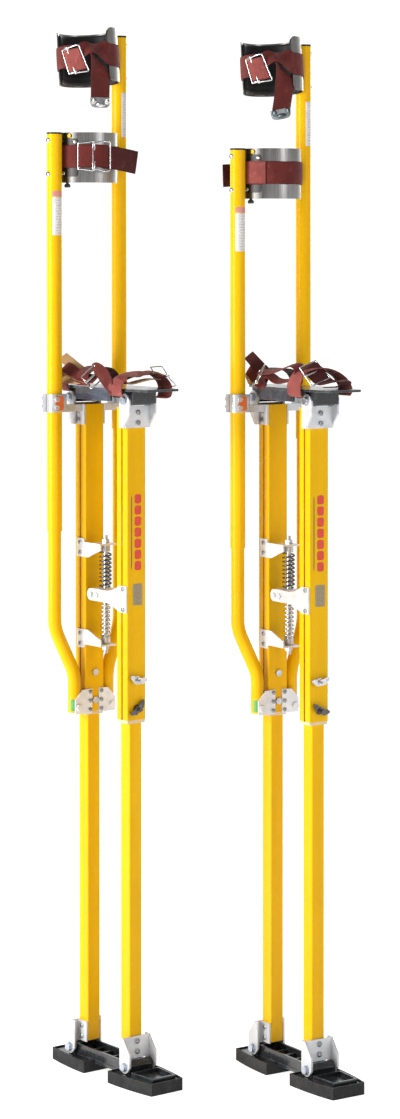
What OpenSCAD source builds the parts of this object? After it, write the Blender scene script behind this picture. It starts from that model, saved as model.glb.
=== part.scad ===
// A pair of drywall stilts. Millimetres, +Z up, toes towards -Y, floor at Z = 0.
// Every sub-part is drawn for one stilt about the middle of its own floor plate,
// with X across the foot, and right() or left() stands it in its place.

/* [Stance] */
// Sideways distance between the two stilts
stance_w = 240; // [200:1:400]
// Distance by which the left stilt stands ahead of the right one
stance_step = 190; // [0:1:300]
// Angle by which each toe points inwards, in degrees
toe_in = 2.3; // [0:0.1:8]

/* [Linkage] */
// Distance between the front and rear pivots of the floor plate and of the foot plate
pivot_gap = 156; // [152:1:164]
// Distance between the centre lines of the two struts
strut_gap = 118.6; // [116:0.1:122]
// Height of the lower pivots above the floor
low_pivot_z = 30; // [28:1:34]
// Height of the upper pivots above the floor at the stored setting
high_pivot_z = 1130; // [1080:1:1180]

/* [Struts] */
// Width of the square inner tube
inner_w = 25.4; // [24:0.1:26]
// Length of the inner tube
inner_l = 766; // [740:1:780]
// Width of the outer tube across the foot
outer_w = 38; // [36:0.5:42]
// Depth of the outer tube from front to back
outer_d = 30; // [29.5:0.5:32]
// Length of the outer tube
outer_l = 518; // [500:1:530]

/* [Poles] */
// Distance of each pole from the middle of the stilt
pole_x = 67; // [65:1:72]
// Distance of the poles behind the middle of the stilt
pole_y = 66; // [62:1:70]
// Outer radius of the upper pole tubes
pole_r = 12.7; // [12:0.1:13]
// Length of the upper pole tubes
pole_l = 668; // [600:1:700]
// Height of the top of the right stilt's calf pole
right_calf_top = 1574; // [1540:1:1580]
// Height of the top of the right stilt's knee pole
right_knee_top = 1741; // [1735:1:1760]
// Height of the top of the left stilt's calf pole
left_calf_top = 1547; // [1530:1:1560]
// Height of the top of the left stilt's knee pole
left_knee_top = 1725; // [1715:1:1745]

/* [Bands] */
// Outer radius of the metal leg bands
band_r = 51; // [49:0.1:51]
// Height of the calf band
calf_band_h = 84; // [80:1:90]
// Height of the knee band
knee_band_h = 90; // [84:1:96]
// Angle by which the knee band tilts up at the front, in degrees
knee_tilt = 5; // [0:0.5:6]
// Width of the leather straps
strap_w = 38; // [30:0.5:38]

/* [Hidden] */

$fn = 48;
// Shift that brings the middle of the pair's box over the origin
centre_y = 17.914;
// Places that follow from the driving dimensions
front_y = -strut_gap / 2;
rear_y = strut_gap / 2;
pivot_y = pivot_gap / 2;
inner_z = low_pivot_z + 14;
outer_top = high_pivot_z - 12;
outer_z = outer_top - outer_l;
rear_face = rear_y - outer_d / 2;
front_face = front_y - outer_d / 2;
// Running clearance of a pin in a moving hole, and of a soft part from its neighbour
fit = 0.05;
soft_gap = 0.3;
// Pivots: bolt, cast boss and bracket ears
bolt_r = 4;
boss_r = 9;
boss_half = 24;
ear_in = 24.5;
ear_t = 3.5;
ear_r = 11;
web_t = 3.5;
// Sole
pad_h = 20;
pocket_z = 14;
plate_z = 18;
// Foot plate: top face and platform thickness
foot_top = high_pivot_z + 20;
foot_t = 4;
// Leg straps and pads
strap_t = 2;
pad_t = 6;
band_t = 2;
// Spring gear, about the middle of the slider
rod_y = 13;
rod_r = 4;
slider_z = high_pivot_z - 329.5;
slider_h = 21;
tab_off = 83;
spring_off = 71.5;
// Height screws on the front of the outer tubes
screw_z = [outer_z + 66, outer_z + 19];
shank_r = 3;

// ---- placing ----------------------------------------------------------

module right() {
    translate([-stance_w / 2, centre_y + stance_step / 2, 0]) rotate([0, 0, toe_in]) children();
}

module left() {
    translate([stance_w / 2, centre_y - stance_step / 2, 0]) rotate([0, 0, -toe_in]) children();
}

// Turns a drawing of the front side into the rear side
module to_rear() {
    mirror([0, 1, 0]) children();
}

// Copies a drawing of the near side to the far side as well
module both_sides() {
    children();
    mirror([1, 0, 0]) children();
}

// ---- shapes -----------------------------------------------------------

// Rectangle with round corners, centred
module round_rect(w, d, r) {
    square([w - 2 * r, d], center = true);
    square([w, d - 2 * r], center = true);
    for (x = [-1, 1], y = [-1, 1])
        translate([x * (w / 2 - r), y * (d / 2 - r)]) circle(r);
}

// Extrudes an outline drawn in Y and Z across X, from x0 over a thickness t
module across(x0, t) {
    translate([x0, 0, 0]) rotate([90, 0, 90]) linear_extrude(t) children();
}

// Extrudes an outline drawn in X and Z towards -Y, from y0 over a thickness t
module forwards(y0, t) {
    translate([0, y0, 0]) rotate([90, 0, 0]) linear_extrude(t) children();
}

// Cylinder along X between x0 and x1
module rod_x(x0, x1, y, z, r) {
    translate([x0, y, z]) rotate([0, 90, 0]) cylinder(h = x1 - x0, r = r);
}

// Cylinder along Y between y0 and y1
module rod_y(y0, y1, x, z, r) {
    translate([x, y0, z]) rotate([-90, 0, 0]) cylinder(h = y1 - y0, r = r);
}

// Hexagonal nut or bolt head along X
module hex_x(x0, x1, y, z, r) {
    translate([x0, y, z]) rotate([0, 90, 0]) cylinder(h = x1 - x0, r = r, $fn = 6);
}

// Hexagonal nut or bolt head along Y
module hex_y(y0, y1, x, z, r) {
    translate([x, y0, z]) rotate([-90, 0, 0]) cylinder(h = y1 - y0, r = r, $fn = 6);
}

// Wave of a curved side: the area between two large arcs
module barrel(half_w, y, arc_r) {
    intersection() {
        translate([arc_r - half_w, y]) circle(arc_r, $fn = 240);
        translate([half_w - arc_r, y]) circle(arc_r, $fn = 240);
    }
}

// ---- floor plate and sole ---------------------------------------------

// Outline of the toe pad, moved inwards by an inset
module toe_outline(inset) {
    intersection() {
        barrel(42 - inset, -55, 520);
        translate([0, -88]) round_rect(90, 140 - 2 * inset, 16);
        translate([-50, -170]) square([100, 120 - inset]);
    }
}

// Outline of the heel pad, moved inwards by an inset
module heel_outline(inset) {
    intersection() {
        barrel(42 - inset, 25, 520);
        translate([0, 52]) round_rect(90, 140 - 2 * inset, 10);
        translate([-50, 18 + inset]) square([100, 120]);
    }
}

module sole_pads() {
    color("dimgray") difference() {
        linear_extrude(pad_h) {
            toe_outline(0);
            heel_outline(0);
        }
        translate([0, 0, pocket_z]) linear_extrude(pad_h) {
            toe_outline(3);
            heel_outline(3);
            square([40 + 2 * soft_gap, 2 * pivot_y - 8], center = true);
        }
    }
}

// Raised tray ahead of the front pivot
module toe_tray() {
    translate([0, 0, plate_z - 1]) linear_extrude(8) difference() {
        polygon([[-28, -97], [28, -97], [24, -149], [-24, -149]]);
        polygon([[-25, -100], [25, -100], [21.5, -146], [-21.5, -146]]);
    }
}

// Cast boss that a pivot bolt runs through, on a block down to the plate
module floor_boss() {
    rod_x(-boss_half, boss_half, -pivot_y, low_pivot_z, boss_r);
    translate([-boss_half, -pivot_y - 8, pocket_z]) cube([2 * boss_half, 16, low_pivot_z - pocket_z]);
}

// Channel beam that joins the heel and the toe
module floor_beam() {
    beam_l = 2 * pivot_y - 8;
    difference() {
        translate([-20, -beam_l / 2, pocket_z]) cube([40, beam_l, 22]);
        translate([-16.5, -beam_l / 2 + 6, plate_z]) cube([33, beam_l - 12, 22]);
        for (x = [-1, 1])
            translate([x * 20 - 1.5, -42, pocket_z + 5]) cube([3, 84, 11]);
    }
    for (y = [-40, -14, 14, 40])
        translate([-17, y - 1.5, plate_z - 1]) cube([34, 3, 13]);
}

module floor_plate() {
    color("#1c1c1e") difference() {
        union() {
            translate([0, 0, pocket_z]) linear_extrude(plate_z - pocket_z) {
                toe_outline(3 + soft_gap);
                heel_outline(3 + soft_gap);
            }
            toe_tray();
            floor_beam();
            floor_boss();
            to_rear() floor_boss();
        }
        for (y = [-pivot_y, pivot_y])
            rod_x(-60, 60, y, low_pivot_z, bolt_r + fit);
    }
}

// Bolt with washers and nut across both ears of a bracket, along X
module pivot_bolt(y, z) {
    ear_out = ear_in + ear_t + 0.2;
    rod_x(-ear_out - 1, ear_out + 7, y, z, bolt_r);
    rod_x(-ear_out - 1.5, -ear_out, y, z, 7.5);
    hex_x(-ear_out - 5.5, -ear_out - 1.5, y, z, 6.8);
    rod_x(ear_out, ear_out + 1.5, y, z, 7.5);
    hex_x(ear_out + 1.5, ear_out + 6, y, z, 6.8);
}

module floor_pivot_bolts() {
    color("lightsteelblue") for (y = [-pivot_y, pivot_y])
        pivot_bolt(y, low_pivot_z);
}

// ---- brackets ---------------------------------------------------------

// Outline of one ear about its pivot: Y to the front is negative, the strut is above
module ear_outline() {
    circle(ear_r);
    polygon([[14, 46], [4, 46], [-14, 22], [-14, 0], [-7.8, -7.8], [7.8, -7.8], [14, 0]]);
}

// Bracket at the foot of a front tube, about its pivot; face is the tube's front face
module pivot_bracket(face, hole_r) {
    difference() {
        union() {
            both_sides() across(ear_in, ear_t) ear_outline();
            translate([-ear_in - 0.5, face - web_t, 10]) cube([2 * ear_in + 1, web_t, 36]);
        }
        rod_x(-40, 40, 0, 0, hole_r);
    }
    for (z = [21, 38])
        rod_y(face - web_t - 1.8, face - web_t, 0, z, 4);
}

// Flanges that hug the sides of a tube of width w and depth d whose outer face is at face
module hugging_flanges(w, d, face, rivets) {
    both_sides() translate([w / 2, face - 1, 12]) cube([3, d + 1, 34]);
    both_sides() for (z = rivets)
        rod_x(w / 2 + 3, w / 2 + 4.5, face + d / 2, z, 3.5);
}

module lower_bracket() {
    face = pivot_y - strut_gap / 2 - inner_w / 2;
    translate([0, -pivot_y, low_pivot_z]) {
        pivot_bracket(face, bolt_r + fit);
        children();
    }
}

module front_lower_bracket() {
    color("gainsboro") lower_bracket();
}

module rear_lower_bracket() {
    face = pivot_y - strut_gap / 2 - inner_w / 2;
    color("gainsboro") to_rear() lower_bracket() hugging_flanges(inner_w, inner_w, face, [20, 38]);
}

// The same bracket upside down at the top of an outer tube
module upper_bracket(hole_r) {
    face = pivot_y - strut_gap / 2 - outer_d / 2;
    translate([0, -pivot_y, high_pivot_z]) mirror([0, 0, 1]) {
        pivot_bracket(face, hole_r);
        children();
    }
}

module front_upper_bracket() {
    color("gainsboro") upper_bracket(bolt_r + 0.4);
}

module rear_upper_bracket() {
    face = pivot_y - strut_gap / 2 - outer_d / 2;
    color("gainsboro") to_rear() upper_bracket(bolt_r + fit) hugging_flanges(outer_w, outer_d, face, [29, 41]);
}

// ---- struts -----------------------------------------------------------

module inner_tube(y) {
    color("gold") translate([0, y, inner_z]) linear_extrude(inner_l) difference() {
        round_rect(inner_w, inner_w, 2);
        round_rect(inner_w - 4, inner_w - 4, 1);
    }
}

// T-shaped groove down one side of the outer tube
module side_groove() {
    translate([-outer_w / 2 - 0.1, -2]) square([2, 4]);
    translate([-outer_w / 2 + 1.6, -4]) square([2, 8]);
}

// Outer tube with its plastic slide collar below; holes lists the heights of the screw holes
module outer_tube(y) {
    slide_w = inner_w + 0.6;
    color("gold") difference() {
        translate([0, y, outer_z]) linear_extrude(outer_l) difference() {
            round_rect(outer_w, outer_d, 2);
            square(slide_w, center = true);
            both_sides() side_groove();
        }
        for (z = screw_z)
            rod_y(y - outer_d, y, 0, z, shank_r + fit);
    }
    color("wheat") translate([0, y, outer_z - 5]) linear_extrude(4.9) difference() {
        round_rect(outer_w - 1, outer_d - 1, 2);
        square(inner_w + 0.2, center = true);
    }
}

// Wing screw in the front face of the front outer tube; its wings stand at an angle
module wing_screw(z, turn) {
    nut_y = front_face - 2;
    color("silver") {
        rod_y(nut_y - 12, front_face + 1.5, 0, z, shank_r);
        rod_y(front_face - 1.8, front_face - 0.2, 0, z, 7);
        rod_y(nut_y - 7, nut_y, 0, z, 5.5);
        translate([0, 0, z]) rotate([0, turn, 0]) both_sides()
            forwards(nut_y - 2.5, 2.5) polygon([[3, -4], [9, -5], [17, 2], [17, 6], [12, 7], [3, 4]]);
    }
}

// ---- springs ----------------------------------------------------------

// Outline in Y and Z of a spring bracket: flange on the rear strut, arm towards the front
module guide_outline() {
    polygon([[66, 92], [46, 92], [44, 86], [-2, 86], [-2, 75], [12, 70], [34, 61], [66, 61]]);
}

// Upper half of the spring gear that the rear strut carries, about the slider's middle
module spring_guide() {
    side = outer_w / 2;
    difference() {
        union() {
            across(-side - 2.5, 2.4) guide_outline();
            translate([-side - 2.5, -2, tab_off]) cube([side + 14, 28, 3]);
        }
        translate([0, rod_y, 60]) cylinder(h = 50, r = rod_r + fit);
    }
    for (z = [68, 85])
        rod_x(-side - 4.1, -side - 2.5, 56, z, 3.2);
    translate([0, rod_y, tab_off + 3.1]) cylinder(h = 6, r = 7, $fn = 6);
    translate([0, rod_y, spring_off + 0.3]) difference() {
        cylinder(h = tab_off - spring_off - 0.4, r = 8);
        translate([0, 0, -1]) cylinder(h = 20, r = rod_r + fit);
    }
}

module spring_rod() {
    color("whitesmoke") translate([0, 0, slider_z]) {
        spring_guide();
        mirror([0, 0, 1]) spring_guide();
    }
    color("silver") translate([0, rod_y, slider_z - 99]) cylinder(h = 198, r = rod_r - 0.02);
}

// Outline in Y and Z of the slider arm: flange on the front strut, round end to the rear
module arm_outline() {
    polygon([[-74, 22], [-56, 22], [-34, 12], [-20, 10], [26, 10], [26, -10], [-20, -10],
        [-34, -13], [-56, -22], [-74, -22]]);
    translate([26, 0]) circle(10);
}

module spring_arm() {
    side = outer_w / 2;
    color("whitesmoke") translate([0, 0, slider_z]) {
        across(-side - 2.5, 2.4) arm_outline();
        difference() {
            translate([-side - 0.2, 2, -slider_h / 2]) cube([side + 10, 22, slider_h]);
            for (y = [rod_y - 2.8, rod_y])
                translate([0, y, -20]) cylinder(h = 40, r = rod_r + 0.15);
            translate([-rod_r - 0.15, rod_y - 2.8, -20]) cube([2 * rod_r + 0.3, 2.8, 40]);
        }
        for (y = [8, 24])
            hex_x(-side - 5.5, -side - 2.5, y, 0, 4.5);
        for (z = [-17, 17])
            rod_x(-side - 4.1, -side - 2.5, -66, z, 3.2);
    }
}

// Coil spring between z0 and z1: a round wire swept up a helix
module coil(r, wire_r, turns, z0, z1) {
    steps = 16 * turns;
    sides = 6;
    pitch = (z1 - z0 - 2 * wire_r) / turns;
    function ring(i) = [for (k = [0 : sides - 1])
        let (a = 360 * i / 16, b = 360 * k / sides, q = r + wire_r * cos(b))
        [q * cos(a), q * sin(a), z0 + wire_r + pitch * i / 16 + wire_r * sin(b)]];
    points = [for (i = [0 : steps]) each ring(i)];
    skin = [for (i = [0 : steps - 1], k = [0 : sides - 1])
        let (n = (k + 1) % sides)
        [i * sides + k, i * sides + n, (i + 1) * sides + n, (i + 1) * sides + k]];
    foot = [[for (k = [sides - 1 : -1 : 0]) k]];
    head = [[for (k = [0 : sides - 1]) steps * sides + k]];
    polyhedron(points, concat(skin, foot, head), convexity = 10);
}

module upper_spring() {
    color("dimgray") translate([0, rod_y, slider_z])
        coil(9.4, 1.5, 8, slider_h / 2 + 0.3, spring_off);
}

module lower_spring() {
    color("silver") translate([0, rod_y, slider_z])
        coil(8.2, 1.3, 8, -spring_off, -slider_h / 2 - 0.3);
}

// ---- poles and their brackets -----------------------------------------

base_r = 11.1;
base_bottom = [34, 55.6, outer_z];
base_bend_r = 70;
base_bend_a = 24;
base_low_z = 50;
base_top = high_pivot_z + 130;

// One bend of a pole base, a hair fatter than the straight lengths that run into it
module base_bend() {
    rotate([90, 0, 0]) rotate_extrude(angle = base_bend_a)
        translate([base_bend_r, 0]) circle(base_r + fit);
}

// Bar that rises from the origin, steps outwards by the run and ends upright at the top
module bent_bar(run, top) {
    lap = 1;
    drop = base_bend_r * sin(base_bend_a);
    slope_l = (run - 2 * base_bend_r * (1 - cos(base_bend_a))) / sin(base_bend_a);
    upper_z = base_low_z + 2 * drop + slope_l * cos(base_bend_a);
    cylinder(h = base_low_z + lap, r = base_r);
    translate([base_bend_r, 0, base_low_z]) rotate([0, base_bend_a - 180, 0]) base_bend();
    translate([base_bend_r * (1 - cos(base_bend_a)), 0, base_low_z + drop]) rotate([0, base_bend_a, 0]) {
        translate([0, 0, -lap]) cylinder(h = slope_l + 2 * lap, r = base_r);
        translate([-base_bend_r, 0, slope_l]) base_bend();
    }
    translate([run, 0, upper_z - lap]) cylinder(h = top - upper_z + lap, r = base_r);
}

// Pole base: the bent bar, hollow from both ends
module pole_base() {
    step = [pole_x - base_bottom.x, pole_y - base_bottom.y];
    difference() {
        translate(base_bottom) rotate([0, 0, atan2(step.y, step.x)])
            bent_bar(norm(step), base_top - outer_z);
        translate(base_bottom - [0, 0, 1]) cylinder(h = base_low_z - 5, r = base_r - 1.8);
        translate([pole_x, pole_y, outer_z + 200]) cylinder(h = base_top - outer_z, r = base_r - 1.8);
        rod_y(20, 90, base_bottom.x, outer_z + 9, shank_r + fit);
    }
}

module pole_bases() {
    color("gold") both_sides() pole_base();
}

// Plate on the front face of the rear strut that carries one pole base
module base_plate() {
    forwards(rear_face, 2.5)
        polygon([[7, 39], [26, 38], [41, 22], [41, -2], [7, -2]]);
    for (z = [34, 19, 4])
        rod_y(rear_face - 4, rear_face - 2.5, 11.5, z, 3.2);
    rod_y(rear_face - 3, base_bottom.y + base_r + 8, base_bottom.x, 9, shank_r);
    hex_y(rear_face - 6.5, rear_face - 2.5, base_bottom.x, 9, 6);
    hex_y(base_bottom.y + base_r + 0.2, base_bottom.y + base_r + 5, base_bottom.x, 9, 6);
}

// Bolt head and wing nut that pin the rear strut's height
module rear_height_bolt(z) {
    back = rear_y + outer_d / 2;
    hex_y(rear_face - 3.5, rear_face - 0.1, 0, z, 6);
    rod_y(back + 0.1, back + 12, 0, z, shank_r);
    rod_y(back + 0.1, back + 7, 0, z, 5.5);
    translate([0, 0, z]) rotate([0, 35, 0]) both_sides()
        forwards(back + 5, 2.5) polygon([[3, -4], [9, -5], [17, 2], [17, 6], [12, 7], [3, 4]]);
}

module pole_brackets() {
    color("gainsboro") translate([0, 0, outer_z]) both_sides() base_plate();
    color("silver") for (z = screw_z)
        rear_height_bolt(z);
}

// Clamp round one pole, with a bar to the flange of the rear upper bracket
module ankle_clamp() {
    clamp_z = outer_top - 12;
    difference() {
        union() {
            translate([pole_x, pole_y, clamp_z]) linear_extrude(30) round_rect(34, 34, 9);
            translate([outer_w / 2 + 3.1, 50, clamp_z]) cube([32, 12, 12]);
        }
        translate([pole_x, pole_y, clamp_z - 1]) cylinder(h = 40, r = pole_r + fit);
        translate([pole_x, pole_y - 1, clamp_z - 1]) cube([40, 2, 40]);
    }
    for (z = [8, 22])
        hex_y(pole_y - 21, pole_y - 17, pole_x + 8, clamp_z + z, 4.5);
    for (z = [8, 22])
        hex_y(pole_y + 17, pole_y + 21, pole_x + 8, clamp_z + z, 4.5);
}

module ankle_clamps() {
    color("gainsboro") both_sides() ankle_clamp();
}

// Upper pole tube with its cap, on the near side, from its top height
module pole(top) {
    color("gold") difference() {
        translate([-pole_x, pole_y, top - pole_l]) cylinder(h = pole_l - 3, r = pole_r);
        translate([-pole_x, pole_y, top - pole_l - 1]) cylinder(h = pole_l, r = base_r + 0.1);
        children();
    }
    color("black") translate([-pole_x, pole_y, top - 2.9]) cylinder(h = 3, r = pole_r + 0.3);
}

// ---- foot plate -------------------------------------------------------

module foot_outline() {
    intersection() {
        barrel(42, -40, 560);
        translate([0, -28]) round_rect(90, 240, 20);
    }
}

// Cast boss under the foot plate that a pivot bolt runs through
module foot_boss() {
    rod_x(-boss_half, boss_half, -pivot_y, high_pivot_z, boss_r);
    translate([-boss_half, -pivot_y - 8, high_pivot_z]) cube([2 * boss_half, 16, foot_top - high_pivot_z - 2]);
}

module foot_plate() {
    color("#222428") difference() {
        union() {
            translate([0, 0, foot_top - foot_t]) linear_extrude(foot_t) foot_outline();
            foot_boss();
            to_rear() foot_boss();
            translate([-boss_half, -pivot_y - 18, high_pivot_z - 6])
                cube([2 * boss_half, 11, foot_top - high_pivot_z + 4]);
            both_sides() translate([36, -56, foot_top - 22]) cube([4.5, 98, 20]);
            for (y = [-30, 20])
                translate([-38, y, foot_top - 14]) cube([76, 3, 12]);
        }
        for (y = [-pivot_y, pivot_y])
            rod_x(-60, 60, y, high_pivot_z, bolt_r + fit);
    }
}

module foot_pivot_bolts() {
    color("lightsteelblue") for (y = [-pivot_y, pivot_y])
        pivot_bolt(y, high_pivot_z);
}

// Strap that arches over the foot outside the plate's edges, its middle at y
module foot_strap(y) {
    arch_w = 86.4;
    arch_h = 100;
    arch_r = 34;
    arch_top = 46;
    leg_h = 14;
    translate([0, y + strap_w / 2, foot_top + arch_top - arch_h / 2]) rotate([90, 0, 0])
        linear_extrude(strap_w) difference() {
            round_rect(arch_w, arch_h, arch_r);
            round_rect(arch_w - 2 * strap_t, arch_h - 2 * strap_t, arch_r - strap_t);
            translate([-arch_w, -arch_h - leg_h + arch_h / 2 - arch_top]) square([2 * arch_w, arch_h]);
        }
}

module foot_straps() {
    color("maroon") {
        foot_strap(-95);
        foot_strap(20);
    }
}

// ---- leg bands, pads and straps ---------------------------------------

// Part of an upright ring about the leg, from angle a0 over the angle a
module leg_arc(r, t, h, a0, a) {
    rotate([0, 0, a0]) rotate_extrude(angle = a) translate([r - t, 0]) square([t, h]);
}

// Spacers between a band and the pole at its near side, at the depths below the top
module band_spacers(depths) {
    for (z = depths)
        rod_x(-(pole_x - pole_r) + 0.2, -band_r + 1.2, 0, z, 4);
}

// Screws through the pole into a band, at the depths below the top
module band_screws(depths) {
    for (z = depths) {
        rod_x(-pole_x - pole_r - 2.5, -band_r + band_t, 0, z, 2.4);
        rod_x(-pole_x - pole_r - 3, -pole_x - pole_r - 0.1, 0, z, 4);
    }
}

calf_depths = [-13.5, -70];
knee_depths = [-14, -72];
calf_strap_depth = 41;
knee_strap_depth = 39;

// Holes for the screws of a band, in the pole's or in the band's place
module screw_holes(depths) {
    for (z = depths)
        rod_x(-pole_x - 30, -band_r + 3, 0, z, 2.5);
}

module calf_pole(top) {
    pole(top) translate([0, pole_y, top]) screw_holes(calf_depths);
}

module calf_band(top) {
    color("silver") translate([0, pole_y, top]) {
        difference() {
            union() {
                translate([0, 0, -calf_band_h]) leg_arc(band_r, band_t, calf_band_h, 172, 156);
                band_spacers(calf_depths);
            }
            screw_holes(calf_depths);
        }
        band_screws(calf_depths);
    }
}

// Strap round the calf band; its free end is a flap towards flap_x at flap_y
module calf_strap(top, flap_x, flap_y) {
    ring_r = band_r + soft_gap + strap_t;
    color("maroon") translate([0, pole_y, top - calf_strap_depth - strap_w / 2]) {
        leg_arc(ring_r, strap_t, strap_w, 0, 360);
        translate([min(flap_x, 0), flap_y - strap_t, 0]) cube([abs(flap_x), strap_t, strap_w]);
    }
}

module knee_pole(top) {
    mirror([1, 0, 0]) pole(top) translate([0, pole_y, top]) screw_holes(knee_depths);
}

module knee_band(top) {
    color("silver") translate([0, pole_y, top]) {
        mirror([1, 0, 0]) difference() {
            union() {
                rotate([-knee_tilt, 0, 0]) translate([0, 0, -knee_band_h + 6])
                    leg_arc(band_r, band_t, knee_band_h, 30, 233);
                band_spacers(knee_depths);
            }
            screw_holes(knee_depths);
        }
        mirror([1, 0, 0]) band_screws(knee_depths);
    }
}

module knee_pad(top) {
    pad_h = knee_band_h - 6;
    color("black") translate([0, pole_y, top]) rotate([-knee_tilt, 0, 0])
        translate([0, 0, -pad_h + 3])
            leg_arc(band_r - band_t - soft_gap, pad_t, pad_h, -82, 230);
}

// Strap round the knee band, with a tail that hangs down to tail_z below the top
module knee_strap(top, tail_z) {
    ring_r = band_r + soft_gap + strap_t;
    ahead = knee_strap_depth * sin(knee_tilt);
    color("maroon") translate([0, pole_y, top]) {
        rotate([-knee_tilt, 0, 0]) translate([0, 0, -knee_strap_depth - strap_w / 2])
            leg_arc(ring_r, strap_t, strap_w, 0, 360);
        translate([-34, -ring_r - ahead - 0.8, -tail_z])
            cube([strap_w, strap_t, tail_z - knee_strap_depth]);
    }
}

// ---- the right stilt --------------------------------------------------

right() floor_plate();  // right_floor_plate
right() sole_pads();  // right_sole_pads
right() floor_pivot_bolts();  // right_floor_pivot_bolts
right() inner_tube(front_y);  // right_front_inner_tube
right() front_lower_bracket();  // right_front_lower_bracket
right() inner_tube(rear_y);  // right_rear_inner_tube
right() rear_lower_bracket();  // right_rear_lower_bracket
right() outer_tube(front_y);  // right_front_outer_tube
right() front_upper_bracket();  // right_front_upper_bracket
right() spring_arm();  // right_spring_arm
right() wing_screw(screw_z[0], 10);  // right_upper_wing_screw
right() wing_screw(screw_z[1], -40);  // right_lower_wing_screw
right() outer_tube(rear_y);  // right_rear_outer_tube
right() rear_upper_bracket();  // right_rear_upper_bracket
right() spring_rod();  // right_spring_rod
right() upper_spring();  // right_upper_spring
right() lower_spring();  // right_lower_spring
right() pole_bases();  // right_pole_bases
right() pole_brackets();  // right_pole_brackets
right() ankle_clamps();  // right_ankle_clamps
right() foot_plate();  // right_foot_plate
right() foot_pivot_bolts();  // right_foot_pivot_bolts
right() foot_straps();  // right_foot_straps
right() calf_pole(right_calf_top);  // right_calf_pole
right() calf_band(right_calf_top);  // right_calf_band
right() calf_strap(right_calf_top, 68, -52);  // right_calf_strap
right() knee_pole(right_knee_top);  // right_knee_pole
right() knee_band(right_knee_top);  // right_knee_band
right() knee_pad(right_knee_top);  // right_knee_pad
right() knee_strap(right_knee_top, 129);  // right_knee_strap

// ---- the left stilt ---------------------------------------------------

left() floor_plate();  // left_floor_plate
left() sole_pads();  // left_sole_pads
left() floor_pivot_bolts();  // left_floor_pivot_bolts
left() inner_tube(front_y);  // left_front_inner_tube
left() front_lower_bracket();  // left_front_lower_bracket
left() inner_tube(rear_y);  // left_rear_inner_tube
left() rear_lower_bracket();  // left_rear_lower_bracket
left() outer_tube(front_y);  // left_front_outer_tube
left() front_upper_bracket();  // left_front_upper_bracket
left() spring_arm();  // left_spring_arm
left() wing_screw(screw_z[0], -5);  // left_upper_wing_screw
left() wing_screw(screw_z[1], 25);  // left_lower_wing_screw
left() outer_tube(rear_y);  // left_rear_outer_tube
left() rear_upper_bracket();  // left_rear_upper_bracket
left() spring_rod();  // left_spring_rod
left() upper_spring();  // left_upper_spring
left() lower_spring();  // left_lower_spring
left() pole_bases();  // left_pole_bases
left() pole_brackets();  // left_pole_brackets
left() ankle_clamps();  // left_ankle_clamps
left() foot_plate();  // left_foot_plate
left() foot_pivot_bolts();  // left_foot_pivot_bolts
left() foot_straps();  // left_foot_straps
left() calf_pole(left_calf_top);  // left_calf_pole
left() calf_band(left_calf_top);  // left_calf_band
left() calf_strap(left_calf_top, -62, 53.3);  // left_calf_strap
left() knee_pole(left_knee_top);  // left_knee_pole
left() knee_band(left_knee_top);  // left_knee_band
left() knee_pad(left_knee_top);  // left_knee_pad
left() knee_strap(left_knee_top, 134);  // left_knee_strap
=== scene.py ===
"""A pair of drywall stilts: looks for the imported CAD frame.

Blender works in metres. The stilts' own lengths below are in millimetres, the materials' lengths in metres.
"""
import math
import bmesh
import bpy
import numpy as np
from mathutils import Matrix, Vector


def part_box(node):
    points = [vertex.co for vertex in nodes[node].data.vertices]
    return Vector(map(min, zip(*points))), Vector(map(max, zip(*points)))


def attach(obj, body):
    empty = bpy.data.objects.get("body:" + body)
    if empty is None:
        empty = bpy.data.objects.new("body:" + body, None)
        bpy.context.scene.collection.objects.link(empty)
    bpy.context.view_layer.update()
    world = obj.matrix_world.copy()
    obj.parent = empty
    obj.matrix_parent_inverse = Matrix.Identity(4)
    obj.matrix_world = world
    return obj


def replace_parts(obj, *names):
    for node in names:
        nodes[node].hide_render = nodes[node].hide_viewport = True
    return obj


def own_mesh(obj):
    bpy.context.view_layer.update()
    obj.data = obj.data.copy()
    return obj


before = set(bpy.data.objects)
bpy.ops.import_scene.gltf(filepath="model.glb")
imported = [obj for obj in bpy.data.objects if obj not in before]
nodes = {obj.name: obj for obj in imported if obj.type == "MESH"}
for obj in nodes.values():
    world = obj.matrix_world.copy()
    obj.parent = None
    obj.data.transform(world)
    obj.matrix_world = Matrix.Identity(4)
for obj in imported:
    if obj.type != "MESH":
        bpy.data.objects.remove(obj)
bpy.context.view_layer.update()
MM = 0.001

# Where each stilt stands: its own frame has x across, -y to the toes, z up
TOE_IN = math.radians(2.3)
HOME = {
    "right": Matrix.Translation((-0.120, 0.112914, 0)) @ Matrix.Rotation(TOE_IN, 4, "Z"),
    "left": Matrix.Translation((0.120, -0.077086, 0)) @ Matrix.Rotation(-TOE_IN, 4, "Z"),
}
# Heights of the upper poles' tops, then of the foot plate, the spring slider and the outer tubes' lower ends
CALF_TOP = {"right": 1574, "left": 1547}
KNEE_TOP = {"right": 1741, "left": 1725}
FOOT_TOP, SLIDER_Z, OUTER_Z = 1150, 800.5, 600
# The side poles, the spring rod, the forward faces of the two outer tubes, and the width of the webbing
POLE_X, POLE_Y, POLE_R = 67, 66, 12.7
ROD_Y = 13
FRONT_FACE, REAR_FACE = -74.3, 44.3
WEB_W = 38
UPRIGHT = (0, 0, 1)
# Metres added to the length coordinate on a strap's inner face, so that a material can tell the faces apart
INNER_FACE = 10


# ---- materials

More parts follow.
